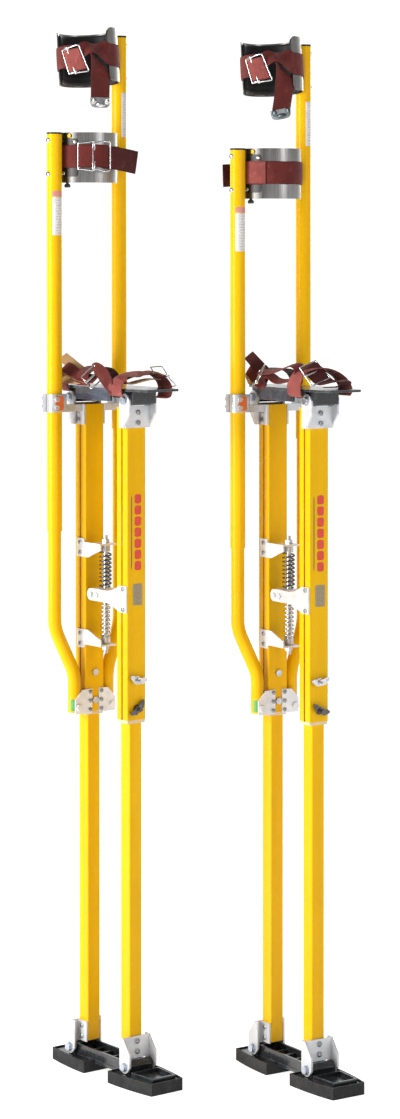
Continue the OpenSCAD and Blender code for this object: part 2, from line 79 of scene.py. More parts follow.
class Shader:
    """A short way to wire a node material."""

    def __init__(self, name):
        self.mat = bpy.data.materials.new(name)
        self.mat.use_nodes = True
        self.tree = self.mat.node_tree
        self.bsdf = self.tree.nodes["Principled BSDF"]
        self.coords = None

    def node(self, kind, **settings):
        n = self.tree.nodes.new(kind)
        for key, value in settings.items():
            if key in n.inputs.keys():
                n.inputs[key].default_value = value
            else:
                setattr(n, key, value)
        return n

    def join(self, a, b):
        self.tree.links.new(a, b)

    def feed(self, socket, v):
        """Puts a number, a colour or another node's output into a socket."""
        if isinstance(v, (int, float)):
            socket.default_value = v
        elif isinstance(v, tuple):
            socket.default_value = (*v, 1)
        else:
            self.join(v, socket)

    def place(self, scale=(1, 1, 1)):
        """Object coordinates, stretched."""
        if self.coords is None:
            self.coords = self.node("ShaderNodeTexCoord")
        m = self.node("ShaderNodeMapping")
        m.inputs["Scale"].default_value = scale
        self.join(self.coords.outputs["Object"], m.inputs["Vector"])
        return m.outputs["Vector"]

    def noise(self, scale, detail=3, rough=0.55, stretch=(1, 1, 1)):
        n = self.node("ShaderNodeTexNoise", Scale=scale, Detail=detail, Roughness=rough)
        self.join(self.place(stretch), n.inputs["Vector"])
        return n.outputs["Fac"]

    def cells(self, scale):
        n = self.node("ShaderNodeTexVoronoi", Scale=scale)
        self.join(self.place(), n.inputs["Vector"])
        return n.outputs["Distance"]

    def ramp(self, value, stops, kind="LINEAR"):
        r = self.node("ShaderNodeValToRGB")
        r.color_ramp.interpolation = kind
        while len(r.color_ramp.elements) < len(stops):
            r.color_ramp.elements.new(0.5)
        for e, (at, colour) in zip(r.color_ramp.elements, stops):
            e.position = at
            e.color = (*colour, 1) if isinstance(colour, (tuple, list)) else (colour, colour, colour, 1)
        self.join(value, r.inputs["Fac"])
        return r.outputs["Color"]

    def math(self, op, a, b=0.0):
        n = self.node("ShaderNodeMath", operation=op)
        self.feed(n.inputs[0], a)
        self.feed(n.inputs[1], b)
        return n.outputs[0]

    def times(self, a, b):
        return self.math("MULTIPLY", a, b)

    def above(self, a, b):
        return self.math("GREATER_THAN", a, b)

    def below(self, a, b):
        return self.math("LESS_THAN", a, b)

    def wave(self, phase):
        """A sine wave between 0 and 1."""
        return self.math("ADD", self.times(self.math("SINE", phase), 0.5), 0.5)

    def spots(self, scale, detail, low, high, rough=0.55):
        """1 where the noise is above high, 0 where it is below low."""
        return self.ramp(self.noise(scale, detail, rough), [(low, 0), (high, 1)])

    def blotches(self, scale, detail, dark, light):
        return self.ramp(self.noise(scale, detail), [(0.3, dark), (0.7, light)])

    def scaled(self, value, low, high):
        """A noise value spread over low to high."""
        n = self.node("ShaderNodeMapRange")
        for key, v in (("From Min", 0.25), ("From Max", 0.75), ("To Min", low), ("To Max", high)):
            n.inputs[key].default_value = v
        self.join(value, n.inputs["Value"])
        return n.outputs["Result"]

    def roughness(self, scale, detail, low, high):
        return self.scaled(self.noise(scale, detail), low, high)

    def mix(self, share, a, b):
        """Colour a where share is 0, b where it is 1."""
        n = self.node("ShaderNodeMix", data_type="RGBA")
        for socket, v in ((0, share), (6, a), (7, b)):
            self.feed(n.inputs[socket], v)
        return n.outputs[2]

    def axis(self, which):
        """One object coordinate, in metres."""
        n = self.node("ShaderNodeSeparateXYZ")
        self.join(self.place(), n.inputs[0])
        return n.outputs[which]

    def facing(self, which):
        """One part of the surface normal."""
        n = self.node("ShaderNodeSeparateXYZ")
        g = self.node("ShaderNodeNewGeometry")
        self.join(g.outputs["Normal"], n.inputs[0])
        return n.outputs[which]

    def edges(self, radius=0.0012):
        """1 along outer edges, 0 on flats."""
        bevel = self.node("ShaderNodeBevel", samples=4, Radius=radius)
        g = self.node("ShaderNodeNewGeometry")
        dot = self.node("ShaderNodeVectorMath", operation="DOT_PRODUCT")
        self.join(bevel.outputs[0], dot.inputs[0])
        self.join(g.outputs["Normal"], dot.inputs[1])
        off = self.math("SUBTRACT", 1.0, dot.outputs["Value"])
        return self.ramp(off, [(0.02, 0), (0.22, 1)])

    def finish(self, colour, rough, metal=0.0, bump=(), coat=0.0, **sockets):
        """Wires the surface; bump has rows of height, distance and strength."""
        for key, v in (("Base Color", colour), ("Roughness", rough), ("Metallic", metal)):
            self.feed(self.bsdf.inputs[key], v)
        last = None
        for height, distance, strength in bump:
            b = self.node("ShaderNodeBump", Distance=distance, Strength=strength)
            self.join(height, b.inputs["Height"])
            if last is not None:
                self.join(last, b.inputs["Normal"])
            last = b.outputs["Normal"]
        if last is not None:
            self.join(last, self.bsdf.inputs["Normal"])
        self.bsdf.inputs["Coat Weight"].default_value = coat
        for key, v in sockets.items():
            self.bsdf.inputs[key.replace("_", " ")].default_value = v
        return self.mat


def yellow_tone(s):
    """Amber powder coat: slight orange peel, hazy patches, rubbed edges."""
    tone = s.blotches(9, 4, (0.76, 0.410, 0.0005), (0.83, 0.465, 0.001))
    streak = s.ramp(s.noise(60, 2, stretch=(1, 1, 0.03)),
                    [(0.35, (0.71, 0.365, 0.0005)), (0.65, (0.87, 0.500, 0.001))])
    tone = s.mix(0.3, tone, streak)
    specks = s.spots(420, 2, 0.74, 0.78)
    tone = s.mix(s.times(specks, 0.35), tone, (0.42, 0.22, 0.02))
    worn = s.times(s.edges(), s.spots(45, 4, 0.5, 0.62))
    return s.mix(s.times(worn, 0.55), tone, (0.75, 0.62, 0.38))


def yellow(name="yellow_powder_coat", collar_z=None, cap_z=None):
    """The coat on a tube; below collar_z it is the beige collar, above cap_z the black cap."""
    s = Shader(name)
    tone = yellow_tone(s)
    rough = s.roughness(30, 4, 0.20, 0.34)
    if collar_z is not None:
        is_collar = s.below(s.axis(2), collar_z)
        beige = s.blotches(50, 3, (0.60, 0.47, 0.30), (0.74, 0.62, 0.44))
        tone = s.mix(is_collar, tone, beige)
    if cap_z is not None:
        is_cap = s.above(s.axis(2), cap_z)
        black = s.blotches(200, 3, (0.010, 0.010, 0.011), (0.022, 0.022, 0.024))
        tone = s.mix(is_cap, tone, black)
    return s.finish(tone, rough, 0.0, [(s.noise(900, 2), 0.00012, 0.25), (s.noise(260, 2), 0.0003, 0.10)],
                    coat=0.08, Coat_Roughness=0.12, Specular_IOR_Level=0.10)


def cast_metal(name, low, high, metal, rough=(0.34, 0.52)):
    """Pale cast or milled aluminium with a fine grain, brighter on its rubbed edges."""
    s = Shader(name)
    tone = s.ramp(s.noise(38, 5, 0.6), [(0.3, low), (0.7, high)])
    grime = s.spots(110, 4, 0.60, 0.72)
    tone = s.mix(s.times(grime, 0.30), tone, (0.36, 0.36, 0.37))
    tone = s.mix(s.times(s.edges(0.0010), 0.5), tone, (0.93, 0.93, 0.94))
    return s.finish(tone, s.roughness(70, 4, *rough), metal,
                    [(s.noise(1100, 3), 0.0002, 0.22), (s.noise(160, 3), 0.0005, 0.10)])


def brushed(name, low, high, rough):
    """Brushed sheet metal: upright grain, and painted shade by facing direction, darkest towards -x, where
    the key light would bleach it.
    """
    s = Shader(name)
    along = (1, 1, 0.02)
    tone = s.ramp(s.noise(700, 3, stretch=along), [(0.3, low), (0.7, high)])
    cloud = s.spots(20, 3, 0.35, 0.65)
    tone = s.mix(s.times(cloud, 0.30), tone, tuple(0.72 * c for c in low))
    # Painted shade: the tone darkens with the surface's facing, full on faces towards +x and darkest on faces
    # towards -x.
    turn = s.math("ADD", s.times(s.facing(0), 0.5), 0.5)
    painted_shade = s.ramp(turn, [(0.0, 0.08), (0.10, 0.10), (0.20, 0.40), (0.46, 0.43), (0.66, 0.60), (0.84, 1.0)],
                     "EASE")
    tone = s.mix(painted_shade, tuple(0.12 * c for c in low), tone)
    return s.finish(tone, s.scaled(s.noise(500, 3, stretch=along), *rough), 0.92,
                    [(s.noise(900, 3, stretch=along), 0.0001, 0.15)], Anisotropic=0.35)


def plated(name, colour, rough, wear=0.3):
    """Zinc, chrome or spring steel: clouded plating with fine scratches."""
    s = Shader(name)
    dark = tuple(c * 0.62 for c in colour)
    tone = s.ramp(s.noise(85, 4, 0.6), [(0.32, dark), (0.66, colour)])
    tone = s.mix(s.times(s.edges(0.0008), wear), tone, (0.9, 0.9, 0.92))
    return s.finish(tone, s.roughness(220, 4, rough * 0.7, rough * 1.5), 1.0,
                    [(s.noise(1500, 2), 0.0001, 0.18)])


def black_casting():
    """Glossy black enamel over a cast surface."""
    s = Shader("black_enamel_casting")
    tone = s.blotches(60, 4, (0.010, 0.011, 0.013), (0.026, 0.028, 0.032))
    dust = s.times(s.spots(24, 5, 0.52, 0.75), s.ramp(s.facing(2), [(0.4, 0), (0.9, 1)]))
    tone = s.mix(s.times(dust, 0.35), tone, (0.16, 0.155, 0.15))
    tone = s.mix(s.times(s.edges(0.0014), 0.45), tone, (0.22, 0.23, 0.25))
    return s.finish(tone, s.roughness(60, 4, 0.16, 0.36), 0.0,
                    [(s.noise(600, 3), 0.0004, 0.30), (s.noise(90, 3), 0.0008, 0.14)],
                    coat=0.4, Coat_Roughness=0.15)


def foot_plate_paint(name, from_y, to_y, bare):
    """The foot plate: black enamel on top and in front, bare dark sheet on the side walls of one stilt."""
    s = Shader(name)
    tone = s.blotches(60, 4, (0.012, 0.013, 0.015), (0.032, 0.034, 0.040))
    sheet = s.ramp(s.noise(14, 4, stretch=(1, 0.35, 2.5)),
                   [(0.36, (0.07, 0.085, 0.12)), (0.52, (0.20, 0.235, 0.30)), (0.66, (0.46, 0.50, 0.56))])
    side = s.above(s.math("ABSOLUTE", s.facing(0)), 0.9)
    middle = s.times(s.above(s.axis(1), from_y), s.below(s.axis(1), to_y))
    share = s.times(side, middle)
    tone = s.mix(s.times(share, bare), tone, sheet)
    tone = s.mix(s.times(s.edges(0.0014), 0.5), tone, (0.30, 0.31, 0.33))
    return s.finish(tone, s.roughness(60, 4, 0.18, 0.36), s.times(share, 0.8 * bare),
                    [(s.noise(500, 3), 0.0004, 0.25)], coat=0.4, Coat_Roughness=0.15)


def rubber():
    """Moulded sole rubber: dark grey with pale specks and a fine stipple."""
    s = Shader("speckled_sole_rubber")
    tone = s.blotches(55, 5, (0.009, 0.009, 0.010), (0.024, 0.024, 0.025))
    specks = s.spots(820, 2, 0.60, 0.70, 0.7)
    tone = s.mix(s.times(specks, 0.40), tone, (0.15, 0.15, 0.15))
    dust = s.spots(18, 5, 0.5, 0.72)
    tone = s.mix(s.times(dust, 0.10), tone, (0.16, 0.155, 0.15))
    tone = s.mix(s.times(s.edges(0.0016), 0.35), tone, (0.16, 0.16, 0.16))
    return s.finish(tone, s.roughness(90, 4, 0.55, 0.80), 0.0,
                    [(s.noise(900, 2), 0.0006, 0.45), (s.noise(120, 3), 0.0010, 0.15)],
                    Specular_IOR_Level=0.22)


def strap_coords(s):
    """Distance along and across a strap, in metres, from its own map."""
    n = s.node("ShaderNodeUVMap", uv_map="strap")
    x = s.node("ShaderNodeSeparateXYZ")
    s.join(n.outputs[0], x.inputs[0])
    return x.outputs[0], x.outputs[1]


def webbing(name, dark, light, tan=0.0):
    """Herringbone webbing: slanted ribs that turn at the middle, plain selvedge, fuzz, pale worn ribs."""
    s = Shader(name)
    along, across = strap_coords(s)
    side = s.math("ABSOLUTE", across)
    rib_pitch, yarn_pitch, selvedge_from = 0.0024, 0.0013, 0.0172
    slant = s.times(side, math.pi / rib_pitch)
    ribs = s.wave(s.math("ADD", s.times(along, 2 * math.pi / rib_pitch), slant))
    yarn = s.wave(s.times(across, 2 * math.pi / yarn_pitch))
    weave = s.math("ADD", s.times(ribs, 0.62), s.times(yarn, 0.38))
    half_way = tuple(0.5 * (a + b) for a, b in zip(dark, light))
    tone = s.ramp(weave, [(0.08, dark), (0.55, half_way), (0.95, light)])
    cloud = s.spots(34, 4, 0.35, 0.68)
    tone = s.mix(s.times(cloud, 0.35), tone, tuple(c * 0.55 for c in dark))
    pale = s.spots(75, 5, 0.56, 0.72, 0.7)
    tone = s.mix(s.times(pale, s.times(ribs, 0.45)), tone, tuple(min(1, c * 1.9 + 0.06) for c in light))
    selvedge = s.above(side, selvedge_from)
    tone = s.mix(s.times(selvedge, 0.45), tone, tuple(c * 0.7 for c in dark))
    if tan:
        inner = s.above(along, INNER_FACE / 2)
        undyed = s.ramp(weave, [(0.1, (0.42, 0.24, 0.09)), (0.9, (0.78, 0.56, 0.28))])
        tone = s.mix(s.times(inner, tan), tone, undyed)
    return s.finish(tone, s.roughness(300, 3, 0.55, 0.78), 0.0,
                    [(weave, 0.0007, 0.75), (s.noise(2200, 2), 0.0003, 0.35)],
                    Sheen_Weight=0.16, Sheen_Roughness=0.45, Sheen_Tint=(1.0, 0.55, 0.50, 1),
                    Specular_IOR_Level=0.22)


def foam_cover():
    """Black vinyl-faced foam: fine grain, soft creases, dull sheen."""
    s = Shader("black_padding_cover")
    tone = s.blotches(45, 4, (0.008, 0.008, 0.009), (0.020, 0.020, 0.022))
    return s.finish(tone, s.roughness(80, 4, 0.42, 0.62), 0.0,
                    [(s.cells(950), 0.0004, 0.35), (s.noise(60, 4), 0.0016, 0.25)],
                    Sheen_Weight=0.05, Specular_IOR_Level=0.25)


def plastic(name, low, high):
    s = Shader(name)
    tone = s.blotches(70, 4, low, high)
    return s.finish(tone, s.roughness(140, 3, 0.32, 0.48), 0.0, [(s.noise(900, 2), 0.0002, 0.2)])


def sticker(name, base, ink, lines=0.0):
    """A plain label film, slightly rubbed; lines is the pitch of soft bars that stand in for print."""
    s = Shader(name)
    tone = s.ramp(s.noise(120, 4), [(0.3, base), (0.7, tuple(min(1, c * 1.1 + 0.02) for c in base))])
    if lines:
        along, across = strap_coords(s)
        row = s.math("FRACT", s.math("DIVIDE", along, lines))
        bar = s.times(s.above(row, 0.55), s.below(s.math("ABSOLUTE", across), 0.0068))
        broken = s.spots(330, 2, 0.42, 0.50)
        tone = s.mix(s.times(s.times(bar, broken), 0.55), tone, ink)
    rubbed = s.spots(160, 5, 0.64, 0.74)
    tone = s.mix(s.times(rubbed, 0.4), tone, ink)
    return s.finish(tone, s.roughness(90, 3, 0.28, 0.45), 0.0,
                    [(s.noise(700, 2), 0.0001, 0.15)], coat=0.2)


def two_part(name, mask_of, first, second):
    """A node with two finishes (dark, light, metal), split by where a point is."""
    s = Shader(name)
    mask = mask_of(s)
    a = s.blotches(60, 4, first[0], first[1])
    b = s.blotches(90, 4, second[0], second[1])
    tone = s.mix(mask, a, b)
    tone = s.mix(s.times(s.edges(0.0009), 0.4), tone, (0.9, 0.9, 0.92))
    metal = s.math("ADD", s.times(mask, second[2] - first[2]), first[2])
    return s.finish(tone, s.roughness(120, 4, 0.26, 0.44), metal, [(s.noise(1000, 3), 0.0002, 0.2)])


MAT = {
    "yellow": yellow(),
    "bracket": cast_metal("pale_bracket_metal", (0.56, 0.57, 0.59), (0.72, 0.73, 0.75), 0.35),
    "clamp": cast_metal("clamp_metal", (0.46, 0.47, 0.49), (0.72, 0.73, 0.75), 0.75, (0.26, 0.44)),
    "band": brushed("brushed_band_metal", (0.44, 0.43, 0.42), (0.78, 0.77, 0.76), (0.24, 0.40)),
    "band_tab": brushed("brushed_tab_metal", (0.16, 0.155, 0.15), (0.30, 0.29, 0.285), (0.34, 0.50)),
    "casting": black_casting(),
    "rubber": rubber(),
    "zinc": plated("blue_zinc_plate", (0.62, 0.68, 0.78), 0.26),
    "silver": plated("bright_screw_metal", (0.78, 0.78, 0.80), 0.22),
    "dark_wing": plated("dark_wing_metal", (0.16, 0.15, 0.15), 0.34),
    "chrome": plated("buckle_chrome", (0.86, 0.87, 0.89), 0.09, 0.2),
    "dark_chrome": plated("dark_tip_metal", (0.17, 0.20, 0.22), 0.20),
    "spring_dark": plated("dark_spring_steel", (0.13, 0.13, 0.14), 0.26),
    "spring_bright": plated("bright_spring_steel", (0.72, 0.73, 0.75), 0.20),
    "web": webbing("maroon_webbing", (0.062, 0.006, 0.005), (0.205, 0.026, 0.020)),
    # A lighter pink copy of the webbing: a painted highlight for the strap stretches that catch the light.
    "web_painted_highlight": webbing("maroon_webbing_painted_highlight", (0.13, 0.018, 0.015), (0.42, 0.11, 0.095)),
    "web_wine": webbing("maroon_webbing_dark", (0.030, 0.004, 0.005), (0.115, 0.015, 0.015)),
    "web_tan": webbing("maroon_webbing_tan_inside", (0.062, 0.006, 0.005), (0.205, 0.026, 0.020), 0.85),
    "foam": foam_cover(),
    "knob": plastic("black_knob_plastic", (0.010, 0.010, 0.010), (0.025, 0.025, 0.026)),
    "rivet": plated("rivet_steel", (0.34, 0.35, 0.37), 0.30),
    "label": sticker("plain_pole_label", (0.62, 0.60, 0.58), (0.30, 0.28, 0.27), 0.0046),
    "label_head": sticker("plain_label_heading", (0.55, 0.20, 0.16), (0.35, 0.10, 0.08)),
    "red": sticker("plain_red_stripe", (0.62, 0.035, 0.010), (0.42, 0.05, 0.02)),
    "green_line": sticker("thin_dark_line", (0.035, 0.06, 0.03), (0.10, 0.09, 0.03)),
    "grey_patch": sticker("plain_grey_patch", (0.30, 0.24, 0.13), (0.07, 0.06, 0.05), 0.0022),
    "green_patch": sticker("plain_green_patch", (0.10, 0.34, 0.06), (0.05, 0.18, 0.05)),
    "orange_patch": sticker("plain_orange_patch", (0.72, 0.13, 0.02), (0.45, 0.06, 0.02)),
}


# ---- mesh makers

def piece(name, side, body, mat, parts, smooth_deg=40):
    """One object of (points, faces, uvs) parts in a stilt's own millimetres, riding on one of its bodies."""
    points, faces, uvs = [], [], []
    for p, f, uv in parts:
        base = len(points)
        points += [Vector(q) * MM for q in p]
        faces += [[base + i for i in face] for face in f]
        uvs += list(uv) if uv is not None else [(0.0, 0.0)] * len(p)
    mesh = bpy.data.meshes.new(name)
    mesh.from_pydata([HOME[side] @ p for p in points], [], faces)
    layer = mesh.uv_layers.new(name="strap")
    corner = np.empty(len(mesh.loops), np.int32)
    mesh.loops.foreach_get("vertex_index", corner)
    layer.data.foreach_set("uv", np.array(uvs, np.float32)[corner].ravel())
    mesh.polygons.foreach_set("use_smooth", [True] * len(mesh.polygons))
    mesh.update()
    fix = bmesh.new()
    fix.from_mesh(mesh)
    bmesh.ops.recalc_face_normals(fix, faces=fix.faces)
    fix.to_mesh(mesh)
    fix.free()
    mesh.set_sharp_from_angle(angle=math.radians(smooth_deg))
    mesh.materials.append(MAT[mat])
    ob = bpy.data.objects.new(f"{side}_{name}", mesh)
    bpy.context.scene.collection.objects.link(ob)
    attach(ob, f"{side}_{body}")
    return ob


def spline(rows, spacing):
    """Catmull-Rom through rows of numbers; the first three are a point. Rows come out about spacing apart."""
    rows = np.array(rows, float)
    out = []
    for i in range(len(rows) - 1):
        a, b, c, d = rows[max(i - 1, 0)], rows[i], rows[i + 1], rows[min(i + 2, len(rows) - 1)]
        n = max(1, int(round(np.linalg.norm(c[:3] - b[:3]) / spacing)))
        for t in np.arange(n) / n:
            bend = (2 * a - 5 * b + 4 * c - d) * t * t + (3 * b - a - 3 * c + d) * t ** 3
            out.append(0.5 * (2 * b + (c - a) * t + bend))
    out.append(rows[-1])
    return np.array(out)


def smooth_rows(rows, spacing=1.25):
    return [list(r) for r in spline(rows, spacing)]


def filled(rows, base):
    """Strip rows with heights above base; a bare point keeps the across and width of the row before."""
    out = []
    for x, y, z, *rest in rows:
        out.append([x, y, base + z, *(rest or out[-1][3:])])
    return out


def wall_faces(rings, seg):
    """Faces between rings of points."""
    faces = []
    for i in range(rings - 1):
        for k in range(seg):
            n = (k + 1) % seg
            faces.append([i * seg + k, i * seg + n, (i + 1) * seg + n, (i + 1) * seg + k])
    return faces


def unit(v):
    """Rows of vectors, or one, at length 1."""
    return v / np.maximum(np.linalg.norm(v, axis=-1, keepdims=True), 1e-9)


def run_lengths(points):
    """How far along the path each point is."""
    return np.concatenate([[0], np.cumsum(np.linalg.norm(np.diff(points, axis=0), axis=1))])


def strip(rows, thick, cross, edge=1.0, serrate=0.0, swell=None, inner=0):
    """A strip through rows (x, y, z, across x, y, z, width), in cross steps across.

    edge is the share of the thickness left at the edges, and serrate roughens them. swell gives the share at
    (along, across) instead. inner (1 or -1) marks the face that shows the webbing's inside.
    """
    rows = np.array(rows, float)
    centre, across, width = rows[:, :3], unit(rows[:, 3:6]), rows[:, 6]
    normal = unit(np.cross(unit(np.gradient(centre, axis=0)), across))
    length = run_lengths(centre)
    points, uvs = [], []
    s = np.linspace(-1, 1, cross + 1)
    s = np.sign(s) * np.abs(s) ** 0.85
    for i in range(len(rows)):
        w = width[i] / 2 + (serrate if i % 2 else -serrate)
        if swell is None:
            h = thick / 2 * (edge + (1 - edge) * (1 - s ** 6))
        else:
            h = thick / 2 * np.array([swell(length[i] / length[-1], x) for x in s])
        for x, y in zip(s, h):
            points.append(centre[i] + across[i] * x * w + normal[i] * y)
            uvs.append((length[i] * MM + (INNER_FACE if inner > 0 else 0), x * w * MM))
        for x, y in zip(s[::-1], h[::-1]):
            points.append(centre[i] + across[i] * x * w - normal[i] * y)
            uvs.append((length[i] * MM + (INNER_FACE if inner < 0 else 0), x * w * MM))
    ring = 2 * (cross + 1)
    faces = wall_faces(len(rows), ring)
    last = (len(rows) - 1) * ring
    for k in range(cross):
        faces.append([k, ring - 1 - k, ring - 2 - k, k + 1])
        faces.append([last + k, last + k + 1, last + ring - 2 - k, last + ring - 1 - k])
    return points, faces, uvs


def tube(path, r, closed=False, seg=10, spacing=1.2, smooth=True):
    """A round wire along a path of points; a closed one is splined past its start and cut to meet."""
    pts = [list(p) for p in path]
    if closed:
        pts = pts + pts[:3]
    if smooth:
        line = spline([p + [0] for p in pts], spacing)[:, :3]
        if closed:
            half = len(line) // 2
            start = np.argmin(np.linalg.norm(line[:half] - np.array(pts[1]), axis=1))
            stop = half + np.argmin(np.linalg.norm(line[half:] - np.array(pts[-2]), axis=1))
            line = line[start:stop]
    else:
        line = np.array(pts, float)
    n = len(line)
    tan = unit(np.roll(line, -1, 0) - np.roll(line, 1, 0) if closed else np.gradient(line, axis=0))
    up = unit(np.cross(tan[0], [0.3, 0.2, 0.93]))
    points = []
    for i in range(n):
        up = unit(up - tan[i] * np.dot(up, tan[i]))
        side = np.cross(tan[i], up)
        for k in range(seg):
            a = 2 * math.pi * k / seg
            points.append(line[i] + r * (math.cos(a) * up + math.sin(a) * side))
    faces = []
    count = n if closed else n - 1
    for i in range(count):
        j = (i + 1) % n
        shift = 0
        if closed and j == 0:
            gap = [np.linalg.norm(points[(n - 1) * seg] - points[k]) for k in range(seg)]
            shift = int(np.argmin(gap))
        for k in range(seg):
            m = (k + 1) % seg
            faces.append([i * seg + k, i * seg + m, j * seg + (m + shift) % seg, j * seg + (k + shift) % seg])
    if not closed:
        faces.append(list(range(seg))[::-1])
        faces.append([(n - 1) * seg + k for k in range(seg)])
    return points, faces, None


def lathe(profile, origin, axis, seg):
    """A turned part: (radius, height) pairs round an axis from origin."""
    axis = Vector(axis).normalized()
    u = axis.orthogonal().normalized()
    v = axis.cross(u)
    points = []
    for r, h in profile:
        for k in range(seg):
            a = 2 * math.pi * k / seg
            points.append(Vector(origin) + axis * h + (u * math.cos(a) + v * math.sin(a)) * max(r, 0.02))
    faces = wall_faces(len(profile), seg)
    faces.append(list(range(seg))[::-1])
    faces.append([(len(profile) - 1) * seg + k for k in range(seg)])
    return points, faces, None


def rounded_ends(rows, corner):
    """Narrows a strip's last rows so that its corners are round."""
    rows = [list(r) for r in rows]
    length = run_lengths(np.array([r[:3] for r in rows]))
    for r, at in zip(rows, length):
        d = min(at, length[-1] - at)
        if d < corner:
            r[6] -= 2 * (corner - math.sqrt(max(0, corner ** 2 - (corner - d) ** 2)))
    return rows


def rivet(at, axis, r, high):
    """A blind rivet head with its small pit."""
    shape = ((1, 0), (1.05, 0.25), (0.86, 0.75), (0.45, 1), (0.30, 0.98), (0.26, 0.55), (0, 0.5))
    return lathe([(r * across, high * up) for across, up in shape], at, axis, 20)


def patch(name, side, body, mat, xs, y, zs, columns, rows, corner):
    """A thin label on a face that looks along y."""
    width = xs[1] - xs[0]
    run = [[xs[0] + width / 2, y, z, 1, 0, 0, width] for z in np.linspace(*zs, rows + 1)]
    piece(name, side, body, mat, [strip(rounded_ends(run, corner), 0.16, columns, 1.0)])


def pole_label(name, side, body, mat, x, zs, turn):
    """A label wrapped on a round pole over a turn of angles; its lines run round the pole."""
    r = POLE_R + 0.12
    rows = []
    for a in np.radians(np.linspace(*turn, 25)):
        centre = (x + r * math.cos(a), POLE_Y + r * math.sin(a), (zs[0] + zs[1]) / 2)
        rows.append([*centre, *UPRIGHT, zs[1] - zs[0]])
    points, faces, uvs = strip(rounded_ends(rows, 1.2), 0.18, 8)
    half_round = math.radians(turn[1] - turn[0]) * r * MM / 2
    piece(name, side, body, mat, [(points, faces, [(v, u - half_round) for u, v in uvs])])


# ---- the CAD nodes' finishes

PALE = ((0.66, 0.67, 0.69), (0.82, 0.83, 0.85), 0.35)
STEEL = ((0.40, 0.42, 0.46), (0.66, 0.69, 0.74), 1.0)
PLAIN_NODES = {
    "yellow": ("front_inner_tube", "rear_inner_tube", "pole_bases"),
    "bracket": ("front_lower_bracket", "rear_lower_bracket", "front_upper_bracket", "rear_upper_bracket",
                "spring_arm"),
    "clamp": ("ankle_clamps",),
    "casting": ("floor_plate",),
    "rubber": ("sole_pads",),
    "zinc": ("floor_pivot_bolts", "foot_pivot_bolts"),
    "silver": ("upper_wing_screw",),
    "dark_wing": ("lower_wing_screw",),
}


def dress(node, mat):
    for slot in nodes[node].material_slots:
        slot.material = mat


def rod_mask(side):
    """1 on the rod, its nuts and cups; 0 on the two guide brackets."""
    at = HOME[side] @ Vector((0, ROD_Y * MM, 0))
    gear_r, guide_from, guide_to = 0.0082, 0.0828, 0.0862

    def mask(s):
        dx = s.math("SUBTRACT", s.axis(0), at.x)
        dy = s.math("SUBTRACT", s.axis(1), at.y)
        far = s.math("SQRT", s.math("ADD", s.times(dx, dx), s.times(dy, dy)))
        near = s.below(far, gear_r)
        off = s.math("ABSOLUTE", s.math("SUBTRACT", s.axis(2), SLIDER_Z * MM))
        guide = s.times(s.above(off, guide_from), s.below(off, guide_to))
        return s.times(near, s.math("SUBTRACT", 1.0, guide))
    return mask


def wing_mask(side):
    """1 on the wing nuts and bolt heads of the rear strut, which stand near its middle plane."""
    at = HOME[side].translation
    turn = TOE_IN if side == "right" else -TOE_IN
    nut_half = 0.0068

    def mask(s):
        across = s.math("ADD", s.times(s.math("SUBTRACT", s.axis(0), at.x), math.cos(turn)),
                        s.times(s.math("SUBTRACT", s.axis(1), at.y), math.sin(turn)))
        return s.below(s.math("ABSOLUTE", across), nut_half)
    return mask


def dress_tubes(side):
    """Outer tubes with their beige slide collars, upper poles with their black caps."""
    collar, cap = 0.0049, 0.0029
    low_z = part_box(f"{side}_front_outer_tube")[0].z
    paint = yellow(f"{side}_strut_paint", collar_z=low_z + collar)
    for part in ("front_outer_tube", "rear_outer_tube"):
        dress(f"{side}_{part}", paint)
    for part in ("calf_pole", "knee_pole"):
        node = f"{side}_{part}"
        dress(node, yellow(f"{node}_paint", cap_z=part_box(node)[1].z - cap))


def dress_foot_plate(side):
    """Only the right plate's side walls look bare in the photo."""
    from_y, to_y = ((HOME[side] @ Vector((0, y, 0))).y for y in (-0.050, 0.040))
    bare = 0.9 if side == "right" else 0.12
    dress(f"{side}_foot_plate", foot_plate_paint(f"{side}_foot_plate_paint", from_y, to_y, bare))


for side in ("right", "left"):
    dress_tubes(side)
    for mat, parts in PLAIN_NODES.items():
        for part in parts:
            dress(f"{side}_{part}", MAT[mat])
    dress(f"{side}_spring_rod", two_part(f"{side}_rod_and_guides", rod_mask(side), PALE, STEEL))
    dress(f"{side}_pole_brackets", two_part(f"{side}_plates_and_bolts", wing_mask(side), PALE, STEEL))
    dress_foot_plate(side)


# ---- springs

def spring(side, which, mat, r, wire, way):
    """A wire spring with closed ends, from the slider up (way 1) or down (-1) to its guide bracket."""
    near, far = SLIDER_Z + way * 10.8, SLIDER_Z + way * 71.5
    low, high = min(near, far) + wire, max(near, far) - wire
    turns, per_turn, closing = 8.5, 26, 0.09
    path = []
    for i in range(int(turns * per_turn) + 1):
        t = i / (turns * per_turn)
        a = 2 * math.pi * turns * t
        from_end = min(t, 1 - t)
        ease = 0.5 - 0.5 * math.cos(math.pi * from_end / closing) if from_end < closing else 1
        lift = t - 0.035 * (1 - ease) * (1 if t < 0.5 else -1)
        path.append([r * math.cos(a), ROD_Y + r * math.sin(a), low + (high - low) * min(1, max(0, lift))])
    ob = piece(f"{which}_spring_coil", side, "rear_strut", mat, [tube(path, wire, seg=12, smooth=False)], 60)
    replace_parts(ob, f"{side}_{which}_spring")
    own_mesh(ob)


# ---- what both leg bands share

def arc(place, a0, a1, step, across, width, low, high=None):
    """Strip rows round a band from angle a0 to a1; low and high are (radius, height) at its two ends."""
    n = int(abs(a1 - a0) / step)
    (r0, z0), (r1, z1) = low, high or low
    rows = []
    for i in range(n + 1):
        t = i / n
        rows.append([*place(a0 + (a1 - a0) * i / n, r0 + (r1 - r0) * t, z0 + (z1 - z0) * t), *across, width])
    return rows


